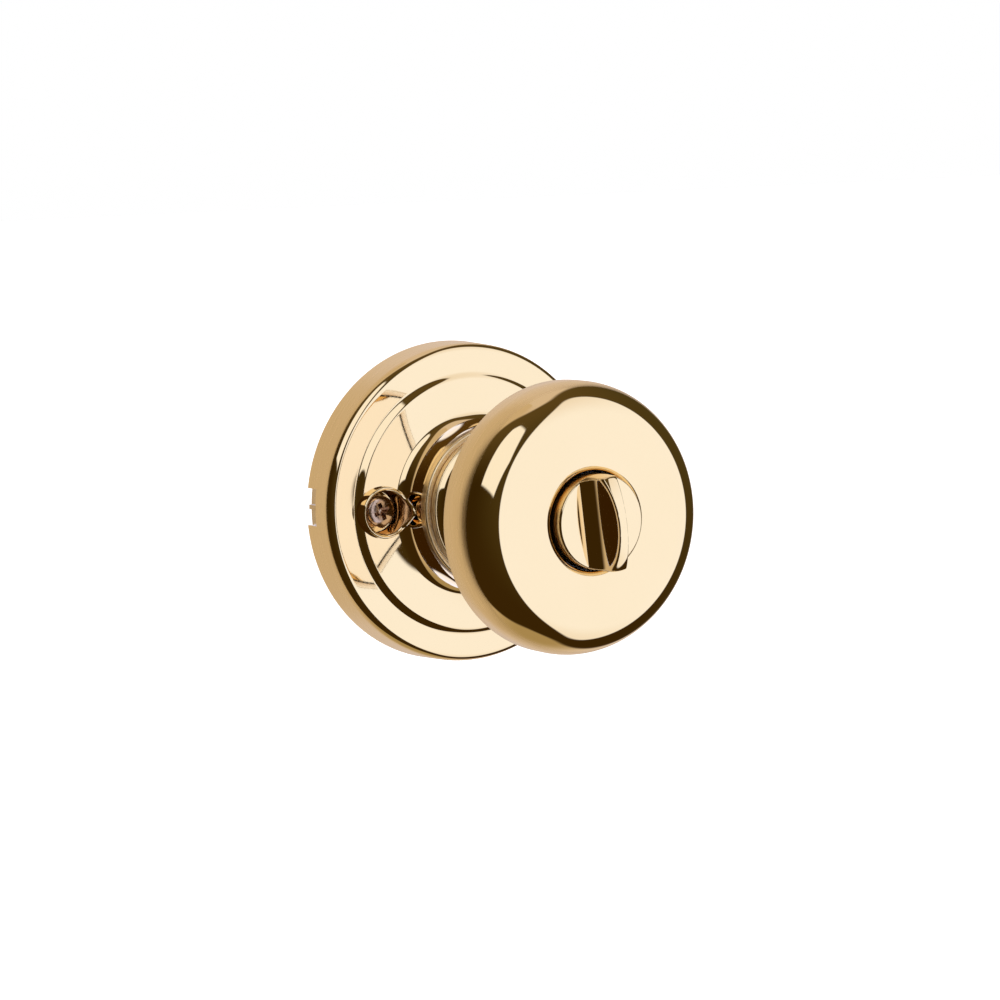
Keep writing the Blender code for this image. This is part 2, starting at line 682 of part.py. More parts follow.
def build_spring_driver():
    """A ring keyed on the shank, with a hole for the spring's leg and a notch for the cage's stop tab."""
    driver = turned(
        "spring_driver",
        ring_profile(DRIVER_BORE, DRIVER_RADIUS, DRIVER_FOOT, DRIVER_TOP),
        knob_axis,
        steel,
    )
    key_mesh = box_mesh(
        "driver_key",
        (SHANK_RADIUS - KEY_DEPTH, -KEY_WIDTH / 2, DRIVER_FOOT),
        (DRIVER_BORE + GAP, KEY_WIDTH / 2, DRIVER_TOP),
        math.radians(180),
    )
    boolean(driver, add_cutter("driver_key", key_mesh, knob_axis), "UNION")
    leg = spring_place(SPRING_TURNS)
    leg_mesh = cylinder_mesh("leg_hole", SPRING_WIRE / 2 + GAP, 0.0, 2 * DRIVER_TOP, leg, steps=12)
    boolean(driver, add_cutter("leg_hole", leg_mesh, knob_axis))
    notch = KNOB_SWING + STOP_HALF_ANGLE + STOP_MARGIN
    notch_floor = CAGE_INNER_RADIUS - STOP_TAB_DEPTH - GAP
    outline = open_ring_outline(notch_floor, 2 * DRIVER_RADIUS, math.pi - notch, math.pi / 2)
    notch_mesh = outline_mesh("stop_notch", outline, 4 * DRIVER_WALL)
    moved_mesh(notch_mesh, Matrix.Translation((0.0, 0.0, DRIVER_TOP)))
    boolean(driver, add_cutter("stop_notch", notch_mesh, knob_axis))


def build_knob_shank():
    """A stepped tube with the retaining ring's groove, a keyway for the driver and a hole for the pin."""
    profile = [
        (SHANK_BORE, SHANK_TOP),
        (SHANK_SHOULDER_RADIUS, SHANK_TOP),
        (SHANK_SHOULDER_RADIUS, SHANK_SHOULDER),
        (SHANK_RADIUS, SHANK_SHOULDER),
        (SHANK_RADIUS, RING_TOP + GAP / 2),
        (RING_GROOVE_RADIUS, RING_TOP + GAP / 2),
        (RING_GROOVE_RADIUS, RING_FOOT - GAP),
        (SHANK_RADIUS, RING_FOOT - GAP),
        (SHANK_RADIUS, SHANK_TAIL),
        (SHANK_BORE, SHANK_TAIL),
    ]
    shank = turned("knob_shank", profile, knob_axis, steel)
    keyway_mesh = box_mesh(
        "keyway",
        (SHANK_RADIUS - KEY_DEPTH - GAP, -KEY_WIDTH / 2 - GAP, DRIVER_FOOT - GAP),
        (2 * SHANK_RADIUS, KEY_WIDTH / 2 + GAP, DRIVER_TOP + GAP),
        math.radians(180),
    )
    boolean(shank, add_cutter("keyway", keyway_mesh, knob_axis))
    boolean(shank, pin_hole)


def build_shank_pin():
    """A cross pin through one wall of the shank and of the core's spigot."""
    low = CORE_CAVITY_RADIUS + GAP
    high = SHANK_SHOULDER_RADIUS - GAP
    mesh = cylinder_mesh("shank_pin", PIN_RADIUS, low, high, steps=12)
    moved_mesh(mesh, Matrix.Translation((0.0, 0.0, PIN_HEIGHT)) @ Matrix.Rotation(math.radians(-90), 4, "X"))
    add_piece("shank_pin", mesh, knob_axis, steel)


def new_pin_hole():
    mesh = cylinder_mesh("pin_hole", PIN_RADIUS + GAP, 0.0, 2 * SHANK_SHOULDER_RADIUS, steps=12)
    moved_mesh(mesh, Matrix.Translation((0.0, 0.0, PIN_HEIGHT)) @ Matrix.Rotation(math.radians(-90), 4, "X"))
    return add_cutter("pin_hole", mesh, knob_axis)


def build_knob_core():
    """A zinc casting: a spigot in the shank, a flange under the shells' seam and a boss under the button."""
    boss_foot = CORE_FLANGE_FOOT + CORE_FLANGE
    flange_radius = KNOB_RADIUS - KNOB_WALL - 2 * GAP
    profile = [
        (CORE_BORE, CORE_TOP),
        (CORE_BOSS_RADIUS, CORE_TOP),
        (CORE_BOSS_RADIUS, boss_foot),
        (flange_radius, boss_foot),
        (flange_radius, CORE_FLANGE_FOOT),
        (CORE_SPIGOT_RADIUS, CORE_FLANGE_FOOT),
        (CORE_SPIGOT_RADIUS, CORE_SPIGOT_FOOT),
        (CORE_CAVITY_RADIUS, CORE_SPIGOT_FOOT),
        (CORE_CAVITY_RADIUS, CORE_SEAT),
        (CORE_BORE, CORE_SEAT),
    ]
    core = turned("knob_core", profile, knob_axis, zinc)
    boolean(core, pin_hole)


def build_knob_face():
    """The face shell: the hole's rolled edge, the slightly crowned face, the rounding and the side band."""
    slope = math.degrees(FACE_SLOPE)
    profile = [(HOLE_RADIUS, FACE_HEIGHT - HOLE_DEPTH)]
    profile += arc(
        HOLE_MOUTH_RADIUS,
        FACE_HEIGHT - HOLE_ROUNDING,
        HOLE_ROUNDING,
        HOLE_ROUNDING,
        180,
        90,
        steps=3,
    )
    start = math.degrees(math.acos(HOLE_MOUTH_RADIUS / KNOB_CROWN_RADIUS))
    crown = arc(0.0, CROWN_CENTRE, KNOB_CROWN_RADIUS, KNOB_CROWN_RADIUS, start, 90 - slope, steps=3)
    profile += crown[1:-1]
    profile += arc(
        KNOB_RADIUS - KNOB_ROUNDING,
        ROUNDING_HEIGHT,
        KNOB_ROUNDING,
        KNOB_ROUNDING,
        90 - slope,
        0,
        steps=6,
    )
    profile.append((KNOB_RADIUS, KNOB_REAR))
    turned_shell("knob_face", profile, KNOB_WALL, knob_axis, brass)


def build_knob_back():
    """The rear shell: a trumpet from the seam to the waisted neck, and the ring next to the collar."""
    seam_radius = KNOB_RADIUS - KNOB_WALL - GAP
    ring = NECK_RING_ROUNDING
    ring_inner = NECK_RING_RADIUS - ring
    cove_width = ring_inner - NECK_RADIUS
    cove_top = NECK_RING_TOP + NECK_COVE_HEIGHT
    flare_foot = cove_top + NECK_STRAIGHT
    flare_width = seam_radius - NECK_RADIUS
    profile = arc(seam_radius, flare_foot, flare_width, KNOB_REAR - flare_foot, 90, 180, steps=5)
    cove = arc(
        NECK_RADIUS + 1.75 * cove_width,
        cove_top,
        1.75 * cove_width,
        1.1 * NECK_COVE_HEIGHT,
        180,
        245,
        steps=3,
    )
    profile += cove
    profile += arc(ring_inner, NECK_RING_TOP - ring, ring, ring, 60, 0, steps=1)
    profile.append((NECK_RING_RADIUS, NECK_FOOT))
    turned_shell("knob_back", profile, BACK_WALL, knob_axis, brass)


def build_spindle():
    """A channel: a tube with one side cut to a flat, open along its whole length."""
    spindle = turned(
        "spindle",
        ring_profile(SPINDLE_BORE, SPINDLE_RADIUS, -SPINDLE_REACH, SPINDLE_TOP),
        knob_axis,
        steel,
        steps=SMALL_STEPS,
    )
    flat_mesh = box_mesh(
        "spindle_cut",
        (SPINDLE_FLAT, -SPINDLE_RADIUS, -2 * SPINDLE_REACH),
        (2 * SPINDLE_RADIUS, SPINDLE_RADIUS, 2 * SPINDLE_TOP),
    )
    boolean(spindle, add_cutter("spindle_cut", flat_mesh, knob_axis))


def build_small_rings():
    turned(
        "spindle_collar",
        ring_profile(SPINDLE_COLLAR_BORE, SPINDLE_COLLAR_RADIUS, CORE_SPIGOT_FOOT + GAP, SPINDLE_TOP),
        knob_axis,
        steel,
        steps=SMALL_STEPS,
    )
    turned(
        "thrust_washer",
        ring_profile(SHANK_RADIUS + GAP, SHANK_RADIUS + GAP + WASHER_WIDTH, WASHER_FOOT, WASHER_TOP),
        knob_axis,
        nylon,
    )
    open_ring(
        "retaining_ring",
        RING_GROOVE_RADIUS + GAP,
        RING_GROOVE_RADIUS + GAP + RING_WIDTH,
        RING_OPENING,
        math.radians(-90),
        RING_FOOT,
        RING_TOP,
        knob_axis,
        spring_steel,
    )
    open_ring(
        "button_clip",
        STEM_GROOVE_RADIUS + GAP,
        CLIP_RADIUS,
        CLIP_OPENING,
        0.0,
        CLIP_FOOT,
        CLIP_TOP,
        button_axis,
        spring_steel,
    )


def build_wave_washer():
    """A thin ring, its heights waved round the axis."""
    middle = (CORE_TOP + BUTTON_FOOT) / 2
    profile = ring_profile(
        STEM_RADIUS + GAP, CORE_BOSS_RADIUS - GAP, middle - WAVE_WALL / 2, middle + WAVE_WALL / 2
    )
    washer = turned("wave_washer", profile, knob_axis, spring_steel, steps=24)
    graph = bpy.context.evaluated_depsgraph_get()
    data = bpy.data.meshes.new_from_object(washer.evaluated_get(graph))
    for vertex in data.vertices:
        angle = math.atan2(vertex.co.y, vertex.co.x)
        vertex.co.z += WAVE_RISE * math.cos(WAVE_COUNT * angle)
    washer.modifiers.clear()
    washer.data = data


def thumb_bar_outline():
    """The thumb bar's cross-section: a narrow crest over two hollow flanks, its foot inside the disc."""
    centre = THUMB_CREST_HALF_WIDTH + THUMB_SCOOP_WIDTH
    crest_foot = THUMB_HEIGHT - THUMB_CREST_RISE
    foot_angle = math.acos((centre - THUMB_HALF_WIDTH) / THUMB_SCOOP_WIDTH)
    scoop_depth = crest_foot / math.sin(foot_angle)
    flank = arc(
        centre, crest_foot, THUMB_SCOOP_WIDTH, scoop_depth, 180, 180 + math.degrees(foot_angle), steps=4
    )
    half = [(0.55 * THUMB_CREST_HALF_WIDTH, THUMB_HEIGHT)] + flank
    half.append((THUMB_HALF_WIDTH, -BUTTON_DISC / 2))
    return half + [(-x, z) for x, z in reversed(half)]


def build_turn_button():
    """The disc with its stem, the thumb bar across it, and the slot that takes the lock bar."""
    rounding = BUTTON_RIM_ROUNDING
    groove_foot = CLIP_FOOT - GAP
    profile = [(0.0, BUTTON_FACE)]
    profile += arc(BUTTON_RADIUS - rounding, BUTTON_FACE - rounding, rounding, rounding, 90, 0, steps=2)
    profile += [
        (BUTTON_RADIUS, BUTTON_FOOT),
        (STEM_RADIUS, BUTTON_FOOT),
        (STEM_RADIUS, CORE_SEAT),
        (STEM_GROOVE_RADIUS, CORE_SEAT),
        (STEM_GROOVE_RADIUS, groove_foot),
        (STEM_RADIUS, groove_foot),
        (STEM_RADIUS, STEM_FOOT),
        (0.0, STEM_FOOT),
    ]
    button = turned("turn_button", profile, button_axis, brass, closed=False)
    bar_mesh = outline_mesh("thumb_bar", thumb_bar_outline(), 2 * THUMB_HALF_LENGTH)
    stand = Matrix.Translation((0.0, 0.0, BUTTON_FACE)) @ Matrix.Rotation(math.radians(90), 4, "X")
    bar = add_cutter("thumb_bar", moved_mesh(bar_mesh, stand), button_axis)
    drop = THUMB_END_DROP
    crest_radius = (THUMB_HALF_LENGTH**2 + drop**2) / (2 * drop)
    reach = 2 * THUMB_HALF_WIDTH
    crest_mesh = cylinder_mesh("crest_curve", crest_radius, -reach, reach, steps=44)
    lay = Matrix.Translation((0.0, 0.0, BUTTON_FACE + THUMB_HEIGHT - crest_radius))
    moved_mesh(crest_mesh, lay @ Matrix.Rotation(math.radians(90), 4, "Y"))
    boolean(bar, add_cutter("crest_curve", crest_mesh, button_axis), "INTERSECT")
    round_mesh = cylinder_mesh(
        "bar_ends", BUTTON_RADIUS - THUMB_END_INSET, BUTTON_FOOT, BUTTON_FACE + 2 * THUMB_HEIGHT, steps=44
    )
    boolean(bar, add_cutter("bar_ends", round_mesh, button_axis), "INTERSECT")
    boolean(button, bar, "UNION")
    slot_mesh = box_mesh(
        "tang_slot",
        (-LOCK_BAR_WALL / 2 - GAP, -LOCK_BAR_WIDTH / 2 - GAP, STEM_FOOT - LOCK_BAR_TANG),
        (LOCK_BAR_WALL / 2 + GAP, LOCK_BAR_WIDTH / 2 + GAP, groove_foot - GAP),
    )
    boolean(button, add_cutter("tang_slot", slot_mesh, button_axis))


def build_lock_bar():
    top = CLIP_FOOT - 3 * GAP
    mesh = box_mesh(
        "lock_bar",
        (-LOCK_BAR_WALL / 2, -LOCK_BAR_WIDTH / 2, -LOCK_BAR_REACH),
        (LOCK_BAR_WALL / 2, LOCK_BAR_WIDTH / 2, top),
    )
    add_piece("lock_bar", mesh, button_axis, steel)


clear_scene()
parts = new_collection("door_knob")
cutters = new_collection("cutters")

brass = new_material("polished_brass", (0.80, 0.56, 0.25), 0.12, 1.0)
steel = new_material("zinc_plated_steel", (0.62, 0.61, 0.58), 0.35, 1.0)
screw_steel = new_material("bronzed_screw_steel", (0.45, 0.30, 0.18), 0.3, 1.0)
spring_steel = new_material("spring_steel", (0.28, 0.27, 0.26), 0.35, 1.0)
zinc = new_material("cast_zinc", (0.52, 0.52, 0.53), 0.5, 1.0)
nylon = new_material("nylon", (0.80, 0.78, 0.72), 0.5, 0.0)

root = new_axis_empty("rose_axis")
knob_axis = new_axis_empty("knob_axis", 0.0, root)
button_axis = new_axis_empty("button_axis", BUTTON_LEAN, knob_axis)
pin_hole = new_pin_hole()

build_rose()
build_mounting_plate()
build_spring_cage()
build_rivets()
build_mounting_screws()
build_return_spring()
build_rose_bushing()
build_spring_driver()
build_knob_shank()
build_shank_pin()
build_knob_core()
build_knob_face()
build_knob_back()
build_spindle()
build_small_rings()
build_wave_washer()
build_turn_button()
build_lock_bar()
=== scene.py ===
"""The looks of the door knob: fine meshes, metals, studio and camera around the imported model."""

import json
import math

import bmesh
import bpy
import numpy as np
from mathutils import Matrix, Vector

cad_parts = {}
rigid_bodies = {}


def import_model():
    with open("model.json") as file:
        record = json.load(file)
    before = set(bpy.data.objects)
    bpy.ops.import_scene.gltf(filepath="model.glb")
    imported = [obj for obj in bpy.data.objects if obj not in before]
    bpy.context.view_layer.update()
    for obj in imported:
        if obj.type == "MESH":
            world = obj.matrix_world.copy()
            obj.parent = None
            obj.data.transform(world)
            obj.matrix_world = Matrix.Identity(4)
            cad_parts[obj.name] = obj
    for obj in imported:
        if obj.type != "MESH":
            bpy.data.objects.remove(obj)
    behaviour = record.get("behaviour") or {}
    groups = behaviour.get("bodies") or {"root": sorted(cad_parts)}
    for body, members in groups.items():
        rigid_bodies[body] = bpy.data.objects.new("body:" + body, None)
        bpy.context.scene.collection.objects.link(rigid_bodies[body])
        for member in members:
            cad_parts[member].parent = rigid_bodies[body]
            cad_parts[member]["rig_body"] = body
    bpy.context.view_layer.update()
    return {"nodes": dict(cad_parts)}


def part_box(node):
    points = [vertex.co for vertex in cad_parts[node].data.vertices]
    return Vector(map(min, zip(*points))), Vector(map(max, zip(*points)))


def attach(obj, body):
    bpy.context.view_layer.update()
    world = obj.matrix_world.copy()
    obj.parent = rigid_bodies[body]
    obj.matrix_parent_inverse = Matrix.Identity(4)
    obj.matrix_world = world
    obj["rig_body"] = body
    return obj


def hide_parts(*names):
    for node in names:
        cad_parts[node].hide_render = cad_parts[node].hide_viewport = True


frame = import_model()

# A turned shape is drawn in a local frame whose Z axis runs out of the door.
# This turns it into the row frame.
TO_ROW = Matrix.Rotation(math.radians(90), 4, "X")
MM = 0.001


def half_width(node):
    """Half of a node's width across the knob."""
    low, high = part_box(node)
    return (high.x - low.x) / 2


def heights(node):
    """A node's foot and top, as distances from the door's face."""
    low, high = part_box(node)
    return -high.y, -low.y


def middle(node):
    """A node's middle in the local frame's XY plane."""
    low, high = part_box(node)
    return (low.x + high.x) / 2, (low.z + high.z) / 2


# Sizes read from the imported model.
ROSE_RADIUS = half_width("rose")
COLLAR_HEIGHT = heights("rose")[1]
SCREW_OFFSET = middle("mounting_screw_right")[0]
SCREW_HEAD_RADIUS = half_width("mounting_screw_right")
SCREW_FOOT, SCREW_TOP = heights("mounting_screw_right")
PLATE_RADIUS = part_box("mounting_plate")[1].x
PLATE_HEIGHT = heights("mounting_plate")[1]
RIVET_OFFSET = middle("cage_rivet_top")[1]
RIVET_HEAD_RADIUS = half_width("cage_rivet_top")
KNOB_RADIUS = half_width("knob_face")
KNOB_REAR, FACE_HEIGHT = heights("knob_face")
SEAM_RADIUS = half_width("knob_back")
NECK_FOOT = heights("knob_back")[0]
SHANK_SHOULDER_RADIUS = half_width("knob_shank")
SHANK_TAIL, SHANK_TOP = heights("knob_shank")
WASHER_RADIUS = half_width("thrust_washer")
WASHER_FOOT, WASHER_TOP = heights("thrust_washer")
RING_FOOT, RING_TOP = heights("retaining_ring")
SPINDLE_RADIUS = -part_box("spindle")[0].x
SPINDLE_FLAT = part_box("spindle")[1].x
SPINDLE_FOOT, SPINDLE_TOP = heights("spindle")
BAR_FOOT, BAR_TOP = heights("lock_bar")
THUMB_TOP = heights("turn_button")[1]
STEM_FOOT = heights("turn_button")[0]

# Rose.
ROSE_WALL = 0.7 * MM
ROSE_EDGE_HEIGHT = 8.7 * MM
ROSE_EDGE_ROUNDING = 2.0 * MM
ROSE_DRAFT = 0.3 * MM
ROSE_LAND_WIDTH = 4.3 * MM
ROSE_LAND_RISE = 0.4 * MM
ROSE_STEP_RISE = 0.95 * MM
ROSE_STEP_WIDTH = 1.9 * MM
COLLAR_RADIUS = 16.2 * MM
COLLAR_BAND = 2.0 * MM
COLLAR_ROUNDING = 0.5 * MM
LIP_RADIUS = 13.2 * MM
COVE_WIDTH = 3.1 * MM
COVE_DEPTH = 5.9 * MM
COVE_END = math.radians(80)
WELL_SHIFT = 0.6 * MM
WELL_RADIUS = 4.3 * MM
WELL_WALL = 0.9 * MM
WELL_LIP = 12.4 * MM
BEAD_RADIUS = 0.45 * MM
BEAD_OFFSET = 4.67 * MM
PRY_ANGLE = math.radians(177.7)
PRY_WIDTH = 7.4 * MM
PRY_DEPTH = 3.4 * MM

# Knob.
KNOB_BAND = 3.2 * MM
KNOB_ROUNDING = 8.1 * MM
KNOB_CROWN_RADIUS = 158.0 * MM
KNOB_WALL = 0.9 * MM
KNOB_HEM = 0.25 * MM
HOLE_ROUNDING = 1.2 * MM
HOLE_DEPTH = 3.8 * MM
NECK_RADIUS = 12.6 * MM
NECK_RING_RADIUS = 15.2 * MM
NECK_RING_BAND = 1.7 * MM
NECK_RING_ROUNDING = 0.4 * MM
NECK_COVE_HEIGHT = 5.0 * MM
NECK_STRAIGHT = 2.0 * MM

# Turn button.
BUTTON_LEAN = math.radians(5.2)
BUTTON_RADIUS = half_width("turn_button") / math.cos(BUTTON_LEAN)
BUTTON_CLEARANCE = 0.45 * MM
BUTTON_DISC = 4.7 * MM
THUMB_HEIGHT = 8.0 * MM
THUMB_HALF_LENGTH = 8.2 * MM
THUMB_HALF_WIDTH = 3.9 * MM
THUMB_CREST_HALF_WIDTH = 0.9 * MM
THUMB_END_DROP = 2.5 * MM

BUTTON_FACE = THUMB_TOP - THUMB_HEIGHT
HOLE_RADIUS = BUTTON_RADIUS + BUTTON_CLEARANCE
HOLE_MOUTH_RADIUS = HOLE_RADIUS + HOLE_ROUNDING

FINE_STEPS = 256
ROUND_STEPS = 96


# -------------------------------------------------------------------------------- mesh helpers

def arc(centre_r, centre_h, size_r, size_h, start, end, steps=12):
    """Points of an elliptical arc in a profile, from start to end in degrees."""
    points = []
    for step in range(steps + 1):
        angle = math.radians(start + (end - start) * step / steps)
        points.append((centre_r + size_r * math.cos(angle), centre_h + size_h * math.sin(angle)))
    return points


def rounded(profile, radius, closed=True, steps=4, least=math.radians(25)):
    """The profile with each corner sharper than the angle least rounded off."""
    result = []
    count = len(profile)
    for index, here in enumerate(profile):
        if not closed and index in (0, count - 1):
            result.append(here)
            continue
        corner = Vector(here)
        back = Vector(profile[index - 1]) - corner
        ahead = Vector(profile[(index + 1) % count]) - corner
        turn = math.pi - back.angle(ahead)
        if turn < least:
            result.append(here)
            continue
        cut = min(radius * math.tan(turn / 2), 0.45 * back.length, 0.45 * ahead.length)
        first = corner + back.normalized() * cut
        last = corner + ahead.normalized() * cut
        for step in range(steps + 1):
            t = step / steps
            point = first * (1 - t) ** 2 + corner * 2 * t * (1 - t) + last * t**2
            result.append((point.x, point.y))
    return result


def mesh_from(name, build):
    """A mesh data block filled by a function that gets an empty bmesh."""
    mesh = bmesh.new()
    build(mesh)
    data = bpy.data.meshes.new(name)
    mesh.to_mesh(data)
    mesh.free()
    return data


def turned(name, profile, closed=True, steps=FINE_STEPS):
    """A profile turned about the local Z axis. Points on the axis are merged."""

    def build(mesh):
        points = [mesh.verts.new((r, 0.0, h)) for r, h in profile]
        lines = [mesh.edges.new(pair) for pair in zip(points, points[1:])]
        if closed:
            lines.append(mesh.edges.new((points[-1], points[0])))
        bmesh.ops.spin(
            mesh,
            geom=points + lines,
            cent=(0.0, 0.0, 0.0),
            axis=(0.0, 0.0, 1.0),
            angle=2 * math.pi,
            steps=steps,
            use_merge=True,
        )
        on_axis = [v for v in mesh.verts if math.hypot(v.co.x, v.co.y) < 1e-7]
        bmesh.ops.remove_doubles(mesh, verts=on_axis, dist=1e-7)
        bmesh.ops.recalc_face_normals(mesh, faces=mesh.faces)

    return mesh_from(name, build)


def cylinder(name, radius, low, high, centre=(0.0, 0.0), steps=ROUND_STEPS):
    """A closed cylinder along the local Z axis."""

    def build(mesh):
        place = Matrix.Translation((centre[0], centre[1], (low + high) / 2))
        bmesh.ops.create_cone(
            mesh,
            cap_ends=True,
            segments=steps,
            radius1=radius,
            radius2=radius,
            depth=high - low,
            matrix=place,
        )

    return mesh_from(name, build)


def box(name, low, high, turn=0.0):
    """A closed box between two corners, turned about the local Z axis."""

    def build(mesh):
        size = Vector(high) - Vector(low)
        place = Matrix.Translation((Vector(high) + Vector(low)) / 2) @ Matrix.Diagonal((*size, 1.0))
        bmesh.ops.create_cube(mesh, size=1.0, matrix=Matrix.Rotation(turn, 4, "Z") @ place)

    return mesh_from(name, build)


def helper(data):
    """A temporary object for a modifier to use."""
    thing = bpy.data.objects.new(data.name + "_helper", data)
    bpy.context.scene.collection.objects.link(thing)
    return thing


def cut(data, steps):
    """The mesh after a list of Booleans, each an operation and the mesh it uses."""
    base = helper(data)
    others = []
    for operation, other in steps:
        thing = helper(other)
        others.append(thing)
        modifier = base.modifiers.new(operation, "BOOLEAN")
        modifier.operation = operation
        modifier.solver = "EXACT"
        modifier.object = thing
    graph = bpy.context.evaluated_depsgraph_get()
    result = bpy.data.meshes.new_from_object(base.evaluated_get(graph))
    result.name = data.name
    for thing in [base] + others:
        bpy.data.objects.remove(thing, do_unlink=True)
    return result


def softened(data, width, segments=3, angle=30):
    """The mesh with its sharp edges bevelled."""
    base = helper(data)
    modifier = base.modifiers.new("Soften", "BEVEL")
    modifier.width = width
    modifier.segments = segments
    modifier.limit_method = "ANGLE"
    modifier.angle_limit = math.radians(angle)
    graph = bpy.context.evaluated_depsgraph_get()
    result = bpy.data.meshes.new_from_object(base.evaluated_get(graph))
    bpy.data.objects.remove(base, do_unlink=True)
    return result


def add_piece(name, data, node, material, sharp=30):
    """A shown piece in the row frame.

    It stands for a CAD node and rides on that node's body. With no node it rides on the rose's.
    """
    data.transform(TO_ROW)
    data.shade_smooth()
    data.set_sharp_from_angle(angle=math.radians(sharp))
    data.materials.clear()
    data.materials.append(material)
    piece = bpy.data.objects.new(name, data)
    bpy.context.scene.collection.objects.link(piece)
    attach(piece, frame["nodes"][node or "rose"]["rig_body"])
    if node:
        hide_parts(node)


# -------------------------------------------------------------------------------- materials

BRASS_WARM = (0.86, 0.635, 0.325)
BRASS_PALE = (0.88, 0.655, 0.345)
STREAK_TURNS = 4.0
STREAKS_PER_METRE = 3500.0
# Roughness at the faintest and the strongest turning line.
POLISH_ROUGHNESS = (0.02, 0.05)
SATIN_ROUGHNESS = (0.24, 0.36)
# The share of the turning lines' depth that the mirror polish keeps.
POLISH_LINES = 0.05
LINE_DEPTH = 0.01 * MM
GRAIN_DEPTH = 0.02 * MM


def new_material(name):
    """A new material with its nodes and links."""
    material = bpy.data.materials.new(name)
    material.use_nodes = True
    return material, material.node_tree.nodes, material.node_tree.links


def math_node(tree, operation, first, second=0.0):
    """A Math node's output. Each of its inputs is a number or another node's output."""
    node = tree.nodes.new("ShaderNodeMath")
    node.operation = operation
    for index, value in enumerate((first, second)):
        if isinstance(value, (int, float)):
            node.inputs[index].default_value = value
        else:
            tree.links.new(value, node.inputs[index])
    return node.outputs[0]


def affine(tree, value, scale, shift):
    """The output of value * scale + shift."""
    return math_node(tree, "ADD", math_node(tree, "MULTIPLY", value, scale), shift)


def ramp(tree, value, low, high, out_low=0.0, out_high=1.0):
    """A smooth step of value, from out_low at low to out_high at high."""
    node = tree.nodes.new("ShaderNodeMapRange")
    node.interpolation_type = "SMOOTHSTEP"
    tree.links.new(value, node.inputs["Value"])
    node.inputs["From Min"].default_value = low
    node.inputs["From Max"].default_value = high
    node.inputs["To Min"].default_value = out_low
    node.inputs["To Max"].default_value = out_high
    return node.outputs["Result"]


def noise(tree, vector, scale, detail=3.0, rough=0.5):
    """A noise texture's value."""
    node = tree.nodes.new("ShaderNodeTexNoise")
    node.inputs["Scale"].default_value = scale
    node.inputs["Detail"].default_value = detail
    node.inputs["Roughness"].default_value = rough
    tree.links.new(vector, node.inputs["Vector"])
    return node.outputs["Fac"]


def round_coordinates(tree):
    """The place, its distances from the knob's axis and the door, and a vector for turning streaks."""
    place = tree.nodes.new("ShaderNodeTexCoord").outputs["Object"]
    parts = tree.nodes.new("ShaderNodeSeparateXYZ")
    tree.links.new(place, parts.inputs[0])
    x, y, z = parts.outputs
    across = math_node(tree, "MULTIPLY", x, x)
    upright = math_node(tree, "MULTIPLY", z, z)
    radius = math_node(tree, "SQRT", math_node(tree, "ADD", across, upright))
    angle = math_node(tree, "ARCTAN2", z, x)
    streak = tree.nodes.new("ShaderNodeCombineXYZ")
    tree.links.new(math_node(tree, "MULTIPLY", angle, STREAK_TURNS), streak.inputs[0])
    tree.links.new(math_node(tree, "MULTIPLY", radius, STREAKS_PER_METRE), streak.inputs[1])
    tree.links.new(math_node(tree, "MULTIPLY", y, STREAKS_PER_METRE), streak.inputs[2])
    return place, radius, math_node(tree, "MULTIPLY", y, -1.0), streak.outputs[0]


def mixed_colour(tree, factor, first, second):
    """A mix of two fixed colours by a node's output."""
    node = tree.nodes.new("ShaderNodeMix")
    node.data_type = "RGBA"
    tree.links.new(factor, node.inputs["Factor"])
    node.inputs["A"].default_value = (*first, 1.0)
    node.inputs["B"].default_value = (*second, 1.0)
    return node.outputs["Result"]


def add_bump(tree, shader, height, strength, distance):
    """Gives the shader a bump from a height."""
    bump = tree.nodes.new("ShaderNodeBump")
    bump.inputs["Strength"].default_value = strength
    bump.inputs["Distance"].default_value = distance
    tree.links.new(height, bump.inputs["Height"])
    tree.links.new(bump.outputs[0], shader.inputs["Normal"])


def polished_brass(name, satin_radius, satin_heights=None, satin_bore=None):
    """Lacquered brass: a mirror polish with faint turning lines, and a drawn satin finish on its bands.

    The satin is beyond satin_radius, between the two satin_heights, and inside the radius satin_bore.
    """
    material, nodes, links = new_material(name)
    tree = material.node_tree
    shader = nodes["Principled BSDF"]
    place, radius, height, streak = round_coordinates(tree)
    band = ramp(tree, radius, satin_radius - 0.25 * MM, satin_radius + 0.15 * MM)
    if satin_heights:
        low, high = satin_heights
        above = ramp(tree, height, low - 0.1 * MM, low + 0.1 * MM)
        below = ramp(tree, height, high - 0.1 * MM, high + 0.1 * MM, 1.0, 0.0)
        band = math_node(tree, "MAXIMUM", band, math_node(tree, "MULTIPLY", above, below))
    if satin_bore:
        bore = ramp(tree, radius, satin_bore - 0.1 * MM, satin_bore + 0.2 * MM, 1.0, 0.0)
        band = math_node(tree, "MAXIMUM", band, bore)
    lines = noise(tree, streak, 1.0, detail=4.0, rough=0.6)
    cloud = noise(tree, place, 60.0, detail=2.0)
    links.new(mixed_colour(tree, cloud, BRASS_WARM, BRASS_PALE), shader.inputs["Base Color"])
    shader.inputs["Metallic"].default_value = 1.0
    polish = ramp(tree, lines, 0.2, 0.8, *POLISH_ROUGHNESS)
    satin = ramp(tree, lines, 0.2, 0.8, *SATIN_ROUGHNESS)
    rough = tree.nodes.new("ShaderNodeMix")
    links.new(band, rough.inputs["Factor"])
    links.new(polish, rough.inputs["A"])
    links.new(satin, rough.inputs["B"])
    links.new(rough.outputs["Result"], shader.inputs["Roughness"])
    depth = math_node(tree, "MULTIPLY", lines, affine(tree, band, 1 - POLISH_LINES, POLISH_LINES))
    add_bump(tree, shader, depth, 0.3, LINE_DEPTH)
    return material


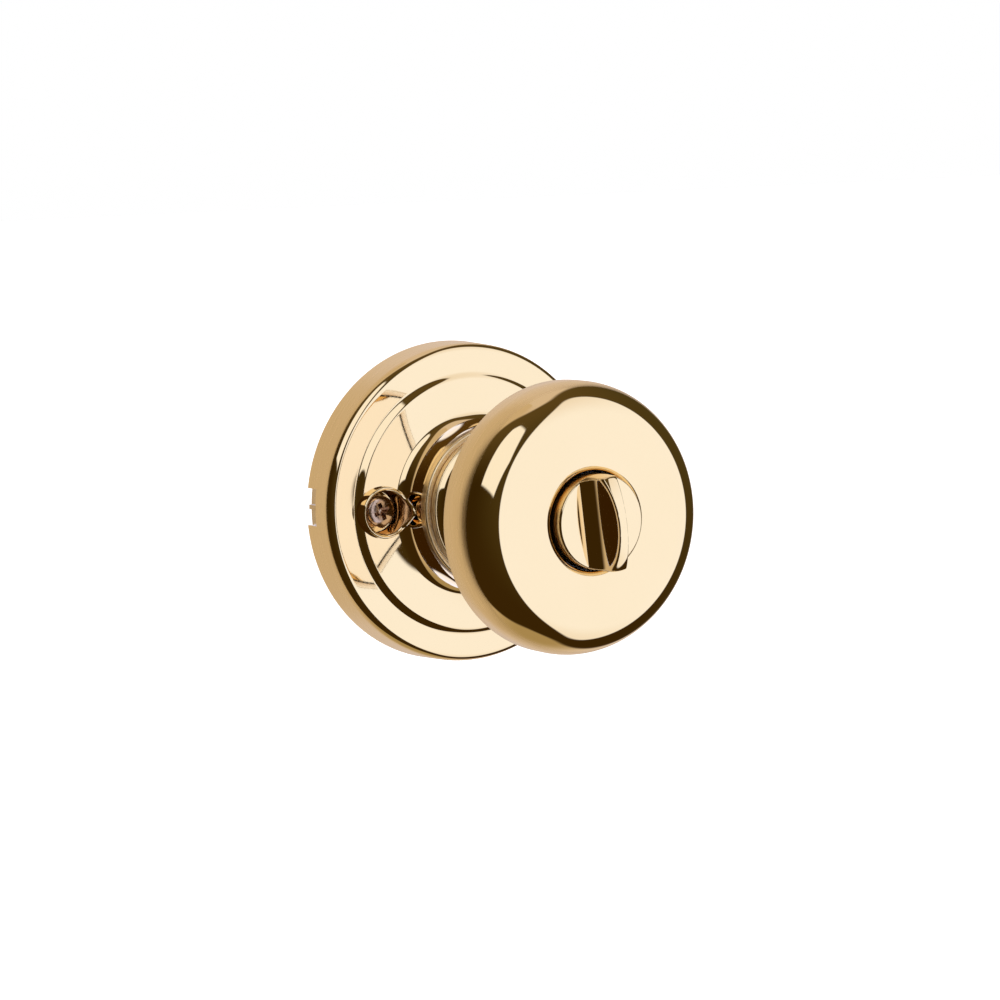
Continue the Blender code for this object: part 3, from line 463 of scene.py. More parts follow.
def plain_metal(name, dark, pale, rough_low, rough_high, grain, bump):
    """A metal with a cloudy colour and roughness, and a fine grain."""
    material, nodes, links = new_material(name)
    tree = material.node_tree
    shader = nodes["Principled BSDF"]
    place = tree.nodes.new("ShaderNodeTexCoord").outputs["Object"]
    cloud = noise(tree, place, 180.0, detail=4.0, rough=0.6)
    fine = noise(tree, place, grain, detail=3.0, rough=0.55)
    links.new(mixed_colour(tree, ramp(tree, cloud, 0.3, 0.7), dark, pale), shader.inputs["Base Color"])
    shader.inputs["Metallic"].default_value = 1.0
    links.new(ramp(tree, fine, 0.25, 0.75, rough_low, rough_high), shader.inputs["Roughness"])
    add_bump(tree, shader, fine, bump, GRAIN_DEPTH)
    return material


def nylon_plastic(name):
    """Slightly translucent natural nylon."""
    material, nodes, links = new_material(name)
    tree = material.node_tree
    shader = nodes["Principled BSDF"]
    place = tree.nodes.new("ShaderNodeTexCoord").outputs["Object"]
    cloud = noise(tree, place, 120.0, detail=3.0)
    fine = noise(tree, place, 5000.0, detail=2.0)
    colour = mixed_colour(tree, cloud, (0.60, 0.57, 0.50), (0.72, 0.70, 0.64))
    links.new(colour, shader.inputs["Base Color"])
    links.new(ramp(tree, fine, 0.2, 0.8, 0.38, 0.52), shader.inputs["Roughness"])
    shader.inputs["Subsurface Weight"].default_value = 0.1
    shader.inputs["Subsurface Radius"].default_value = (1 * MM, 1 * MM, 1 * MM)
    add_bump(tree, shader, fine, 0.15, GRAIN_DEPTH)
    return material


COLLAR_SATIN = (COLLAR_HEIGHT - COLLAR_BAND, FACE_HEIGHT)
RING_SATIN = (0.0, NECK_FOOT + NECK_RING_BAND)

rose_brass = polished_brass("rose_brass", ROSE_RADIUS - 0.5 * MM, COLLAR_SATIN)
knob_brass = polished_brass("knob_brass", KNOB_RADIUS - 1.0 * MM, satin_bore=HOLE_RADIUS)
neck_brass = polished_brass("neck_brass", KNOB_RADIUS, RING_SATIN)
button_brass = polished_brass("button_brass", BUTTON_RADIUS)
zinc_steel = plain_metal(
    "zinc_plated_steel", (0.62, 0.46, 0.25), (0.74, 0.56, 0.33), 0.24, 0.42, 2600.0, 0.25
)
screw_steel = plain_metal(
    "bronzed_screw_steel", (0.52, 0.36, 0.25), (0.66, 0.48, 0.34), 0.14, 0.28, 3200.0, 0.25
)
spring_steel = plain_metal("spring_steel", (0.20, 0.195, 0.19), (0.32, 0.31, 0.30), 0.28, 0.44, 3000.0, 0.2)
cast_zinc = plain_metal("cast_zinc", (0.42, 0.42, 0.43), (0.56, 0.56, 0.57), 0.42, 0.62, 1800.0, 0.4)
nylon = nylon_plastic("nylon")


# -------------------------------------------------------------------------------- rose

ROSE_FRONT_RADIUS = ROSE_RADIUS - ROSE_DRAFT
LAND_OUTER = ROSE_FRONT_RADIUS - ROSE_EDGE_ROUNDING
LAND_INNER = LAND_OUTER - ROSE_LAND_WIDTH + ROSE_STEP_WIDTH / 2
STEP_INNER = LAND_INNER - ROSE_STEP_WIDTH
STEP_FOOT = ROSE_EDGE_HEIGHT + ROSE_LAND_RISE
COVE_TOP = COLLAR_HEIGHT - COLLAR_BAND


def step_curve(shift_r, shift_h, steps=14):
    """The S-shaped step between the rose's dome and its land, from the top down."""
    points = []
    for step in range(steps + 1):
        t = step / steps
        height = STEP_FOOT + ROSE_STEP_RISE * (0.5 + 0.5 * math.cos(math.pi * t))
        points.append((STEP_INNER + ROSE_STEP_WIDTH * t + shift_r, height + shift_h))
    return points


def rose_outside():
    """The shell's shown face, from the lip down to the rim."""
    centre = COLLAR_RADIUS + COVE_WIDTH
    profile = [(LIP_RADIUS, COLLAR_HEIGHT)]
    profile += arc(
        COLLAR_RADIUS - COLLAR_ROUNDING,
        COLLAR_HEIGHT - COLLAR_ROUNDING,
        COLLAR_ROUNDING,
        COLLAR_ROUNDING,
        90,
        0,
        steps=6,
    )
    profile += arc(centre, COVE_TOP, COVE_WIDTH, COVE_DEPTH, 180, 180 + math.degrees(COVE_END), steps=28)
    profile += step_curve(0.0, 0.0)
    rounding = ROSE_EDGE_ROUNDING
    profile += arc(LAND_OUTER, ROSE_EDGE_HEIGHT - rounding, rounding, rounding, 90, 0, steps=14)
    profile.append((ROSE_RADIUS, 0.0))
    return profile


def rose_inside():
    """The shell's hidden face, from the rim up to the lip."""
    centre = COLLAR_RADIUS + COVE_WIDTH
    rounding = ROSE_EDGE_ROUNDING
    bend = rounding - ROSE_WALL
    wall = ROSE_WALL
    profile = [(ROSE_RADIUS - wall, 0.0)]
    profile += arc(LAND_OUTER, ROSE_EDGE_HEIGHT - rounding, bend, bend, 0, 90, steps=6)
    profile += step_curve(-0.2 * MM, -wall, steps=6)[::-1]
    profile += arc(
        centre, COVE_TOP, COVE_WIDTH + wall, COVE_DEPTH + wall, 180 + math.degrees(COVE_END), 180, steps=12
    )
    profile += [(COLLAR_RADIUS - wall, COLLAR_HEIGHT - wall), (LIP_RADIUS, COLLAR_HEIGHT - wall)]
    return profile


ROSE_OUTSIDE = rose_outside()
WELL_OFFSET = SCREW_OFFSET + WELL_SHIFT
SCREW_HOLE_RADIUS = 2.55 * MM
WELL_FLOOR = SCREW_TOP - 2.3 * MM
WELL_SKIRT = 0.6 * MM
FLOOR_ROUNDING = 0.3 * MM
OVERLAP = 0.05 * MM
RIM_BLEND = 0.6 * MM
CUP_WALL = 1.0 * MM


def rose_height(radius):
    """The height of the rose's front surface outside its collar."""
    slope = [point for point in ROSE_OUTSIDE if point[1] < COVE_TOP]
    return float(np.interp(radius, [r for r, _ in slope], [h for _, h in slope]))


def build_rose():
    """The rose's shell, with holes for the wells and the pry slot."""
    data = turned("rose", ROSE_OUTSIDE + rose_inside())
    hole = BEAD_OFFSET - 0.1 * MM
    cutters = []
    for side in (-1, 1):
        centre = (side * WELL_OFFSET, 0.0)
        cutter = cylinder("well_hole", hole, STEP_FOOT / 2, 2 * COLLAR_HEIGHT, centre)
        cutters.append(("DIFFERENCE", cutter))
    slot = box(
        "pry_slot",
        (ROSE_RADIUS - 2 * ROSE_WALL, -PRY_WIDTH / 2, -PRY_DEPTH),
        (ROSE_RADIUS + 2 * ROSE_WALL, PRY_WIDTH / 2, PRY_DEPTH),
        PRY_ANGLE,
    )
    cutters.append(("DIFFERENCE", slot))
    add_piece("rose_shell", cut(data, cutters), "rose", rose_brass)


def well_rim(side, angle, offset):
    """How far from the knob's axis a point is that lies at an angle and an offset round a screw well."""
    x = side * WELL_OFFSET + offset * math.cos(angle)
    return math.hypot(x, offset * math.sin(angle))


def smooth_max(first, second, soft):
    """The larger of two values, blended where they differ by less than soft."""
    reach = max(soft - abs(first - second), 0.0) / soft
    return max(first, second) + soft * reach**2 / 4


def well_section(side, angle):
    """The well's section at one angle, as (offset, height, share of the shift to the screw)."""
    surface = rose_height(well_rim(side, angle, BEAD_OFFSET))
    crown = smooth_max(WELL_LIP - BEAD_RADIUS, surface - OVERLAP, RIM_BLEND)
    foot_radius = BEAD_OFFSET + WELL_SKIRT
    foot = min(rose_height(well_rim(side, angle, foot_radius)) - OVERLAP, crown)
    floor = WELL_FLOOR
    section = [
        (SCREW_HOLE_RADIUS, floor - CUP_WALL, 1.0),
        (SCREW_HOLE_RADIUS, floor, 1.0),
        (WELL_RADIUS - FLOOR_ROUNDING, floor, 0.0),
        (WELL_RADIUS - 0.3 * FLOOR_ROUNDING, floor + 0.3 * FLOOR_ROUNDING, 0.0),
        (WELL_RADIUS, floor + FLOOR_ROUNDING, 0.0),
    ]
    rise = crown - floor - FLOOR_ROUNDING
    for step in range(6):
        section.append((WELL_RADIUS, floor + FLOOR_ROUNDING + rise * (step + 1) / 6, 0.0))
    middle = WELL_RADIUS + BEAD_RADIUS
    for step in range(1, 11):
        turn = math.radians(180 - 18 * step * 0.85)
        section.append((middle + BEAD_RADIUS * math.cos(turn), crown + BEAD_RADIUS * math.sin(turn), 0.0))
    start_r, start_h, _ = section[-1]
    for step in range(1, 9):
        t = step / 8
        fall = 1 - (1 - t) ** 2
        section.append((start_r + (foot_radius - start_r) * t, start_h + (foot - start_h) * fall, 0.0))
    section.append((foot_radius, foot - 0.4 * MM, 0.0))
    section.append((WELL_RADIUS + WELL_WALL, foot - 1.2 * MM, 0.0))
    section.append((WELL_RADIUS + WELL_WALL, floor - CUP_WALL, 0.0))
    return section


def build_well(side, name):
    """A screw well: a cup whose rolled rim follows the rose's surface."""

    def build(mesh):
        rings = []
        for step in range(ROUND_STEPS):
            angle = 2 * math.pi * step / ROUND_STEPS
            ring = []
            for offset, height, share in well_section(side, angle):
                x = side * (WELL_OFFSET - share * WELL_SHIFT) + offset * math.cos(angle)
                ring.append(mesh.verts.new((x, offset * math.sin(angle), height)))
            rings.append(ring)
        close_grid(mesh, rings)

    data = mesh_from("rose_well_" + name, build)
    add_piece("rose_well_" + name, data, None, rose_brass)


def close_grid(mesh, rings):
    """Faces between neighbouring rings, and from the last ring to the first."""
    count = len(rings)
    for index, ring in enumerate(rings):
        ahead = rings[(index + 1) % count]
        size = len(ring)
        for step in range(size):
            after = (step + 1) % size
            mesh.faces.new((ring[step], ring[after], ahead[after], ahead[step]))
    bmesh.ops.recalc_face_normals(mesh, faces=mesh.faces)


# -------------------------------------------------------------------------------- steel parts

PLATE_WALL = 1.2 * MM
PLATE_ROUNDING = 1.5 * MM
NIB_WIDTH = 0.9 * MM
NIB_HEIGHT = 2.6 * MM
NIB_FOOT = 0.3 * MM
RIVET_RADIUS = 1.4 * MM
RIVET_DOME = 0.9 * MM
SHANK_RADIUS = 10.2 * MM
SHANK_BORE = 8.8 * MM
SPRING_HOLE_RADIUS = 1.05 * MM
GAP = 0.3 * MM
SPRING_PLACE = (12.1 * MM, math.radians(35))


def build_mounting_plate():
    """The dished plate behind the rose, with its holes and the nib seen in the pry slot."""
    back = PLATE_HEIGHT - PLATE_WALL
    inner = SHANK_RADIUS + 0.45 * MM
    rounding = PLATE_ROUNDING
    bend = rounding - PLATE_WALL
    profile = [(inner, PLATE_HEIGHT)]
    profile += arc(PLATE_RADIUS - rounding, PLATE_HEIGHT - rounding, rounding, rounding, 90, 0, steps=10)
    profile += [(PLATE_RADIUS, 0.0), (PLATE_RADIUS - PLATE_WALL, 0.0)]
    profile += arc(PLATE_RADIUS - rounding, PLATE_HEIGHT - rounding, bend, bend, 0, 90, steps=6)
    profile.append((inner, back))
    data = turned("mounting_plate", rounded(profile, 0.2 * MM))
    spring_x = SPRING_PLACE[0] * math.cos(SPRING_PLACE[1])
    spring_y = SPRING_PLACE[0] * math.sin(SPRING_PLACE[1])
    holes = [
        (SCREW_HOLE_RADIUS, (-SCREW_OFFSET, 0.0)),
        (SCREW_HOLE_RADIUS, (SCREW_OFFSET, 0.0)),
        (RIVET_RADIUS + GAP, (0.0, RIVET_OFFSET)),
        (RIVET_RADIUS + GAP, (0.0, -RIVET_OFFSET)),
        (SPRING_HOLE_RADIUS, (spring_x, spring_y)),
    ]
    nib = box(
        "nib",
        (PLATE_RADIUS - PLATE_WALL / 2, -NIB_WIDTH / 2, NIB_FOOT),
        (ROSE_RADIUS - ROSE_WALL / 2, NIB_WIDTH / 2, NIB_FOOT + NIB_HEIGHT),
        PRY_ANGLE,
    )
    steps = [("UNION", nib)]
    for radius, centre in holes:
        cutter = cylinder("plate_hole", radius, 0.0, 2 * PLATE_HEIGHT, centre, steps=48)
        steps.append(("DIFFERENCE", cutter))
    add_piece("mounting_plate_fine", cut(data, steps), "mounting_plate", zinc_steel)


def build_rivets():
    """The two domed rivets that hold the cage."""
    for name, side in (("top", 1), ("bottom", -1)):
        foot, top = heights("cage_rivet_" + name)
        front = top - RIVET_DOME
        back = foot + RIVET_DOME
        profile = arc(0.0, front, RIVET_HEAD_RADIUS, RIVET_DOME, 90, 0, steps=12)
        profile += [(RIVET_RADIUS, front), (RIVET_RADIUS, back)]
        profile += arc(0.0, back, RIVET_HEAD_RADIUS, RIVET_DOME, 0, -90, steps=12)
        profile = rounded(profile, 0.15 * MM, closed=False)
        data = turned("cage_rivet_" + name, profile, closed=False, steps=64)
        data.transform(Matrix.Translation((0.0, side * RIVET_OFFSET, 0.0)))
        add_piece("rivet_" + name, data, "cage_rivet_" + name, zinc_steel)


SCREW_RADIUS = 2.08 * MM
SCREW_HEAD_HEIGHT = 2.0 * MM
SCREW_NECK = 0.5 * MM
THREAD_PITCH = 0.8 * MM
THREAD_DEPTH = 0.42 * MM
# How much steeper the thread's sides are than an even zigzag.
THREAD_STEEPNESS = 1.35
THREAD_COLUMNS = 48
ROWS_PER_TURN = 12
TIP_LENGTH = 1.2 * MM
TIP_SHARE = 0.72
# The share of the head's height that is straight-sided.
HEAD_SIDE = 0.62
HUB_TOP_RADIUS = 0.95 * MM
HUB_FOOT_RADIUS = 0.35 * MM
HUB_POINT = 0.25 * MM
ABOVE_HEAD = 0.1 * MM
# The widths of a recess wing at its foot and its top, as shares of the full size.
WING_FOOT, WING_TOP = 0.45, 1.05
CROSS_LENGTH = 3.6 * MM
CROSS_WIDTH = 0.85 * MM
CROSS_DEPTH = 1.5 * MM
CROSS_TURNS = {"left": math.radians(20), "right": math.radians(65)}


def thread_shell(name, low, high):
    """A screw's threaded shank, as a closed grid whose radius follows the helix."""

    def build(mesh):
        around = THREAD_COLUMNS
        rows = int((high - low) / THREAD_PITCH * ROWS_PER_TURN)
        rings = []
        for row in range(rows + 1):
            height = low + (high - low) * row / rows
            point = min((height - low) / TIP_LENGTH, 1.0)
            taper = TIP_SHARE + (1 - TIP_SHARE) * point
            ring = []
            for step in range(around):
                angle = 2 * math.pi * step / around
                phase = (height / THREAD_PITCH - step / around) % 1.0
                groove = min(1.0, THREAD_STEEPNESS * abs(2 * phase - 1))
                radius = (SCREW_RADIUS - THREAD_DEPTH * groove) * taper
                ring.append(mesh.verts.new((radius * math.cos(angle), radius * math.sin(angle), height)))
            rings.append(ring)
        for ring, ahead in zip(rings, rings[1:]):
            for step in range(around):
                after = (step + 1) % around
                mesh.faces.new((ring[step], ring[after], ahead[after], ahead[step]))
        mesh.faces.new(rings[0][::-1])
        mesh.faces.new(rings[-1])
        bmesh.ops.recalc_face_normals(mesh, faces=mesh.faces)

    return mesh_from(name, build)


def cross_blade(turn):
    """One tapered wing of the driver recess."""

    def build(mesh):
        place = Matrix.Rotation(turn, 4, "Z") @ Matrix.Translation((0.0, 0.0, SCREW_TOP - CROSS_DEPTH / 2))
        square = Matrix.Rotation(math.radians(45), 4, "Z")
        shape = Matrix.Diagonal((CROSS_LENGTH, CROSS_WIDTH, 1.0, 1.0)) @ square
        bmesh.ops.create_cone(
            mesh,
            cap_ends=True,
            segments=4,
            radius1=WING_FOOT / math.sqrt(2),
            radius2=WING_TOP / math.sqrt(2),
            depth=CROSS_DEPTH * 1.02,
            matrix=place @ shape,
        )

    return mesh_from("cross_blade", build)


def build_screws():
    """The two mounting screws: domed head with a cross recess, and threaded shank."""
    for name, side in (("left", -1), ("right", 1)):
        seat = SCREW_TOP - SCREW_HEAD_HEIGHT
        shoulder = HEAD_SIDE * SCREW_HEAD_HEIGHT
        crown = SCREW_HEAD_HEIGHT - shoulder
        profile = arc(0.0, seat + shoulder, SCREW_HEAD_RADIUS, crown, 90, 0, steps=14)
        profile += [(SCREW_HEAD_RADIUS, seat), (SCREW_RADIUS, seat)]
        profile += [(SCREW_RADIUS, seat - SCREW_NECK), (0.0, seat - SCREW_NECK)]
        profile = rounded(profile, 0.25 * MM, closed=False)
        head = turned("screw_head", profile, closed=False, steps=ROUND_STEPS)
        turn = CROSS_TURNS[name]
        steps = [("DIFFERENCE", cross_blade(turn + quarter)) for quarter in (0.0, math.radians(90))]
        hub = turned(
            "cross_hub",
            [
                (0.0, SCREW_TOP + ABOVE_HEAD),
                (HUB_TOP_RADIUS, SCREW_TOP + ABOVE_HEAD),
                (HUB_FOOT_RADIUS, SCREW_TOP - CROSS_DEPTH),
                (0.0, SCREW_TOP - CROSS_DEPTH - HUB_POINT),
            ],
            closed=False,
            steps=32,
        )
        steps.append(("DIFFERENCE", hub))
        steps.append(("UNION", thread_shell("thread", SCREW_FOOT, seat - 0.2 * MM)))
        data = cut(head, steps)
        data.transform(Matrix.Translation((side * SCREW_OFFSET, 0.0, 0.0)))
        node = "mounting_screw_" + name
        add_piece("screw_" + name, data, node, screw_steel, sharp=40)


def ring_profile(inner, outer, low, high):
    """The profile of a plain ring."""
    return [(inner, high), (outer, high), (outer, low), (inner, low)]


RING_INNER = 9.9 * MM
RING_WIDTH = 2.5 * MM
RING_EYE = 0.5 * MM
RING_OPENING = math.radians(24)
RING_GROOVE_RADIUS = SHANK_RADIUS - 0.6 * MM


def build_shank():
    """The tube from the knob's core, with its shoulder and the retaining ring's groove."""
    shoulder = COLLAR_HEIGHT
    profile = [
        (SHANK_BORE, SHANK_TOP),
        (SHANK_SHOULDER_RADIUS, SHANK_TOP),
        (SHANK_SHOULDER_RADIUS, shoulder),
        (SHANK_RADIUS, shoulder),
        (SHANK_RADIUS, RING_TOP + GAP / 2),
        (RING_GROOVE_RADIUS, RING_TOP + GAP / 2),
        (RING_GROOVE_RADIUS, RING_FOOT - GAP),
        (SHANK_RADIUS, RING_FOOT - GAP),
        (SHANK_RADIUS, SHANK_TAIL),
        (SHANK_BORE, SHANK_TAIL),
    ]
    data = turned("knob_shank", rounded(profile, 0.15 * MM), steps=128)
    add_piece("shank_tube", data, "knob_shank", zinc_steel)


def build_washer_and_ring():
    """The thrust washer, and the open retaining ring with two eyes."""
    washer = turned(
        "thrust_washer",
        rounded(ring_profile(SHANK_RADIUS + GAP, WASHER_RADIUS, WASHER_FOOT, WASHER_TOP), 0.15 * MM),
        steps=128,
    )
    add_piece("thrust_washer_fine", washer, "thrust_washer", nylon)
    ring = turned(
        "retaining_ring",
        rounded(ring_profile(RING_INNER, RING_INNER + RING_WIDTH, RING_FOOT, RING_TOP), 0.1 * MM),
        steps=128,
    )
    reach = 2 * SHANK_RADIUS
    half = RING_INNER * math.sin(RING_OPENING / 2)
    low = 2 * RING_FOOT - RING_TOP
    high = 2 * RING_TOP - RING_FOOT
    opening = box("ring_opening", (-half, -reach, low), (half, 0.0, high))
    ears = []
    for side in (-1, 1):
        hole_angle = math.radians(-90) + side * (RING_OPENING / 2 + math.radians(8))
        middle_radius = RING_INNER + RING_WIDTH / 2
        centre = (middle_radius * math.cos(hole_angle), middle_radius * math.sin(hole_angle))
        eye = cylinder("ring_eye", RING_EYE, RING_FOOT - RING_WIDTH, RING_TOP + RING_WIDTH, centre, 24)
        ears.append(("DIFFERENCE", eye))
    data = softened(cut(ring, [("DIFFERENCE", opening)] + ears), 0.05 * MM)
    add_piece("retaining_ring_fine", data, "retaining_ring", spring_steel)


SPINDLE_BORE = 3.1 * MM
LOCK_BAR_WALL = 1.3 * MM
LOCK_BAR_WIDTH = 5.0 * MM


def build_spindle():
    """The drive spindle: a tube with one side cut flat and open."""
    profile = ring_profile(SPINDLE_BORE, SPINDLE_RADIUS, SPINDLE_FOOT, SPINDLE_TOP)
    tube_data = turned("spindle", rounded(profile, 0.2 * MM), steps=96)
    flat = box(
        "spindle_cut",
        (SPINDLE_FLAT, -2 * SPINDLE_RADIUS, 2 * SPINDLE_FOOT),
        (2 * SPINDLE_RADIUS, 2 * SPINDLE_RADIUS, 2 * SPINDLE_TOP),
    )
    data = softened(cut(tube_data, [("DIFFERENCE", flat)]), 0.12 * MM, angle=40)
    add_piece("spindle_channel", data, "spindle", zinc_steel)


def build_lock_bar():
    """The flat bar inside the spindle, at the button's lean."""
    low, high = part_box("lock_bar")
    middle_x = (low.x + high.x) / 2
    half_x, half_y = LOCK_BAR_WALL / 2, LOCK_BAR_WIDTH / 2
    data = box("lock_bar", (middle_x - half_x, -half_y, BAR_FOOT), (middle_x + half_x, half_y, BAR_TOP))
    data = softened(data, 0.2 * MM)
    data.transform(Matrix.Rotation(BUTTON_LEAN, 4, "Z"))
    add_piece("lock_bar_fine", data, "lock_bar", zinc_steel)


# -------------------------------------------------------------------------------- knob

FACE_SLOPE = math.asin((KNOB_RADIUS - KNOB_ROUNDING) / (KNOB_CROWN_RADIUS - KNOB_ROUNDING))
ROUNDING_HEIGHT = KNOB_REAR + KNOB_BAND
CROWN_CENTRE = ROUNDING_HEIGHT - (KNOB_CROWN_RADIUS - KNOB_ROUNDING) * math.cos(FACE_SLOPE)


def build_knob_face():
    """The face shell: side band, rounding, crowned face and rolled hole."""
    slope = math.degrees(FACE_SLOPE)
    mouth = CROWN_CENTRE + math.sqrt(KNOB_CROWN_RADIUS**2 - HOLE_MOUTH_RADIUS**2)
    mouth_angle = math.degrees(math.acos(HOLE_MOUTH_RADIUS / KNOB_CROWN_RADIUS))
    outside = [(HOLE_RADIUS, mouth - HOLE_DEPTH)]
    roll = HOLE_ROUNDING
    outside += arc(HOLE_MOUTH_RADIUS, mouth - roll, roll, roll, 180, mouth_angle, steps=14)
    crown = KNOB_CROWN_RADIUS
    outside += arc(0.0, CROWN_CENTRE, crown, crown, mouth_angle, 90 - slope, steps=18)[1:-1]
    centre = KNOB_RADIUS - KNOB_ROUNDING
    outside += arc(centre, ROUNDING_HEIGHT, KNOB_ROUNDING, KNOB_ROUNDING, 90 - slope, 0, steps=36)
    hem = KNOB_HEM
    outside += [(KNOB_RADIUS, KNOB_REAR + hem)]
    outside += arc(KNOB_RADIUS - hem, KNOB_REAR + hem, hem, hem, 0, -90, steps=4)[1:]
    wall = KNOB_WALL
    inside = [(KNOB_RADIUS - wall, KNOB_REAR)]
    bend = KNOB_ROUNDING - wall
    inside += arc(centre, ROUNDING_HEIGHT, bend, bend, 0, 90 - slope, steps=12)
    inner_crown = KNOB_CROWN_RADIUS - wall
    inner_mouth = HOLE_RADIUS + wall
    inner_angle = math.degrees(math.acos((HOLE_MOUTH_RADIUS + wall) / inner_crown))
    inside += arc(0.0, CROWN_CENTRE, inner_crown, inner_crown, 90 - slope, inner_angle, steps=6)[1:]
    inside += [(inner_mouth, mouth - HOLE_ROUNDING - wall), (inner_mouth, mouth - HOLE_DEPTH)]
    data = turned("knob_face", outside + inside)
    add_piece("knob_face_shell", data, "knob_face", knob_brass)


def build_knob_back():
    """The trumpet from the seam to the waisted neck, and the ring next to the collar."""
    ring = NECK_RING_ROUNDING
    ring_top = NECK_FOOT + NECK_RING_BAND
    ring_inner = NECK_RING_RADIUS - ring
    cove_width = ring_inner - NECK_RADIUS
    cove_top = ring_top + NECK_COVE_HEIGHT
    flare_foot = cove_top + NECK_STRAIGHT
    flare_width = SEAM_RADIUS - NECK_RADIUS
    wall = KNOB_WALL
    outside = arc(SEAM_RADIUS, flare_foot, flare_width, KNOB_REAR - flare_foot, 90, 180, steps=32)
    cove_reach = 1.75 * cove_width
    cove_depth = 1.1 * NECK_COVE_HEIGHT
    outside += arc(NECK_RADIUS + cove_reach, cove_top, cove_reach, cove_depth, 180, 245, steps=16)
    outside += arc(ring_inner, ring_top - ring, ring, ring, 80, 0, steps=6)
    outside += arc(ring_inner, NECK_FOOT + ring, ring, ring, 0, -90, steps=6)
    inside = [(NECK_RADIUS - wall, NECK_FOOT)]
    inside += [(NECK_RADIUS - wall, flare_foot)]
    inside += arc(
        SEAM_RADIUS, flare_foot, flare_width + wall, KNOB_REAR + wall - flare_foot, 180, 90, steps=16
    )[1:]
    data = turned("knob_back", outside + inside)
    add_piece("knob_back_shell", data, "knob_back", neck_brass)


# -------------------------------------------------------------------------------- turn button

STEM_RADIUS = 4.0 * MM
RIM_ROUNDING = 0.4 * MM
BAR_END_RADIUS = BUTTON_RADIUS - 0.05 * MM
BAR_ROUNDING = 0.35 * MM
CREST_SOFTNESS = 0.9 * MM
CREST_CROWN = 5.0 * MM
FLANK_HOLLOW = 0.5
BAR_DEPTH = 0.5 * MM
CREST_EDGE = THUMB_CREST_HALF_WIDTH + 0.45 * MM


def flank_height(x):
    """The slightly hollow flank's height at a distance from the bar's middle plane."""
    run = THUMB_HALF_WIDTH - THUMB_CREST_HALF_WIDTH
    down = (THUMB_HALF_WIDTH - x) / run
    hollow = FLANK_HOLLOW
    if down > 1.0:
        return THUMB_HEIGHT * (1.0 + (1.0 + 2 * hollow) * (down - 1.0))
    return THUMB_HEIGHT * ((1 - hollow) * down + hollow * down**3)


def bar_height(x, y):
    """The thumb bar's height over the disc: the lower of its crest and flank, blended."""
    drop = THUMB_END_DROP
    crest_radius = (THUMB_HALF_LENGTH**2 + drop**2) / (2 * drop)
    crest = THUMB_HEIGHT - crest_radius + math.sqrt(crest_radius**2 - y**2) - x**2 / (2 * CREST_CROWN)
    flank = flank_height(abs(x))
    reach = max(CREST_SOFTNESS - abs(crest - flank), 0.0) / CREST_SOFTNESS
    return min(crest, flank) - CREST_SOFTNESS * reach**2 / 4


def bar_columns():
    """Distances across the bar: even over the crest, then closer together where the flank is steep."""
    crest_steps, flank_steps = 22, 22
    edge = CREST_EDGE
    half = [edge * step / crest_steps for step in range(crest_steps + 1)]
    half += [edge + (THUMB_HALF_WIDTH - edge) * step / flank_steps for step in range(1, flank_steps + 1)]
    return [-x for x in reversed(half[1:])] + half


def thumb_bar():
    """The thumb bar as a closed grid that reaches a little into the disc."""

    def build(mesh):
        columns = bar_columns()
        turns = [math.radians(90 * step / 6) for step in range(7)]
        rows = 44
        grid = []
        for x in columns:
            end = math.sqrt(BAR_END_RADIUS**2 - x**2)
            flat = end - BAR_ROUNDING
            line = []
            for turn in reversed(turns[1:]):
                y = -(flat + BAR_ROUNDING * math.sin(turn))
                line.append((x, y, bar_height(x, y) - BAR_ROUNDING * (1 - math.cos(turn))))
            for row in range(rows + 1):
                y = flat * (2 * row / rows - 1)
                line.append((x, y, bar_height(x, y)))
            for turn in turns[1:]:
                y = flat + BAR_ROUNDING * math.sin(turn)
                line.append((x, y, bar_height(x, y) - BAR_ROUNDING * (1 - math.cos(turn))))
            grid.append([(x, -end, -BAR_DEPTH)] + line + [(x, end, -BAR_DEPTH)])
        first = [(x, y, -BAR_DEPTH) for x, y, _ in grid[0]]
        last = [(x, y, -BAR_DEPTH) for x, y, _ in grid[-1]]
        grid = [first] + grid + [last]
        verts = [[mesh.verts.new((x, y, z + BUTTON_FACE)) for x, y, z in line] for line in grid]
        for line, ahead in zip(verts, verts[1:]):
            for step in range(len(line) - 1):
                mesh.faces.new((line[step], line[step + 1], ahead[step + 1], ahead[step]))
        rim = [line[0] for line in verts] + verts[-1][1:] + [line[-1] for line in reversed(verts[:-1])]
        rim += list(reversed(verts[0][1:-1]))
        mesh.faces.new(rim)
        bmesh.ops.remove_doubles(mesh, verts=mesh.verts, dist=1e-7)
        bmesh.ops.recalc_face_normals(mesh, faces=mesh.faces)

    return mesh_from("thumb_bar", build)


def build_turn_button():
    """The disc, its stem and the thumb bar, at the button's lean."""
    foot = BUTTON_FACE - BUTTON_DISC
    profile = [(0.0, BUTTON_FACE)]
    edge = RIM_ROUNDING
    profile += arc(BUTTON_RADIUS - edge, BUTTON_FACE - edge, edge, edge, 90, 0, steps=8)
    profile += [(BUTTON_RADIUS, foot), (STEM_RADIUS, foot), (STEM_RADIUS, STEM_FOOT), (0.0, STEM_FOOT)]
    data = turned("turn_button", profile, closed=False)
    data = cut(data, [("UNION", thumb_bar())])
    data.transform(Matrix.Rotation(BUTTON_LEAN, 4, "Z"))
    add_piece("turn_button_fine", data, "turn_button", button_brass)


build_rose()
build_well(-1, "left")
build_well(1, "right")
build_mounting_plate()
build_rivets()
build_screws()
build_shank()
build_washer_and_ring()
build_spindle()
build_lock_bar()
build_knob_face()
build_knob_back()
build_turn_button()

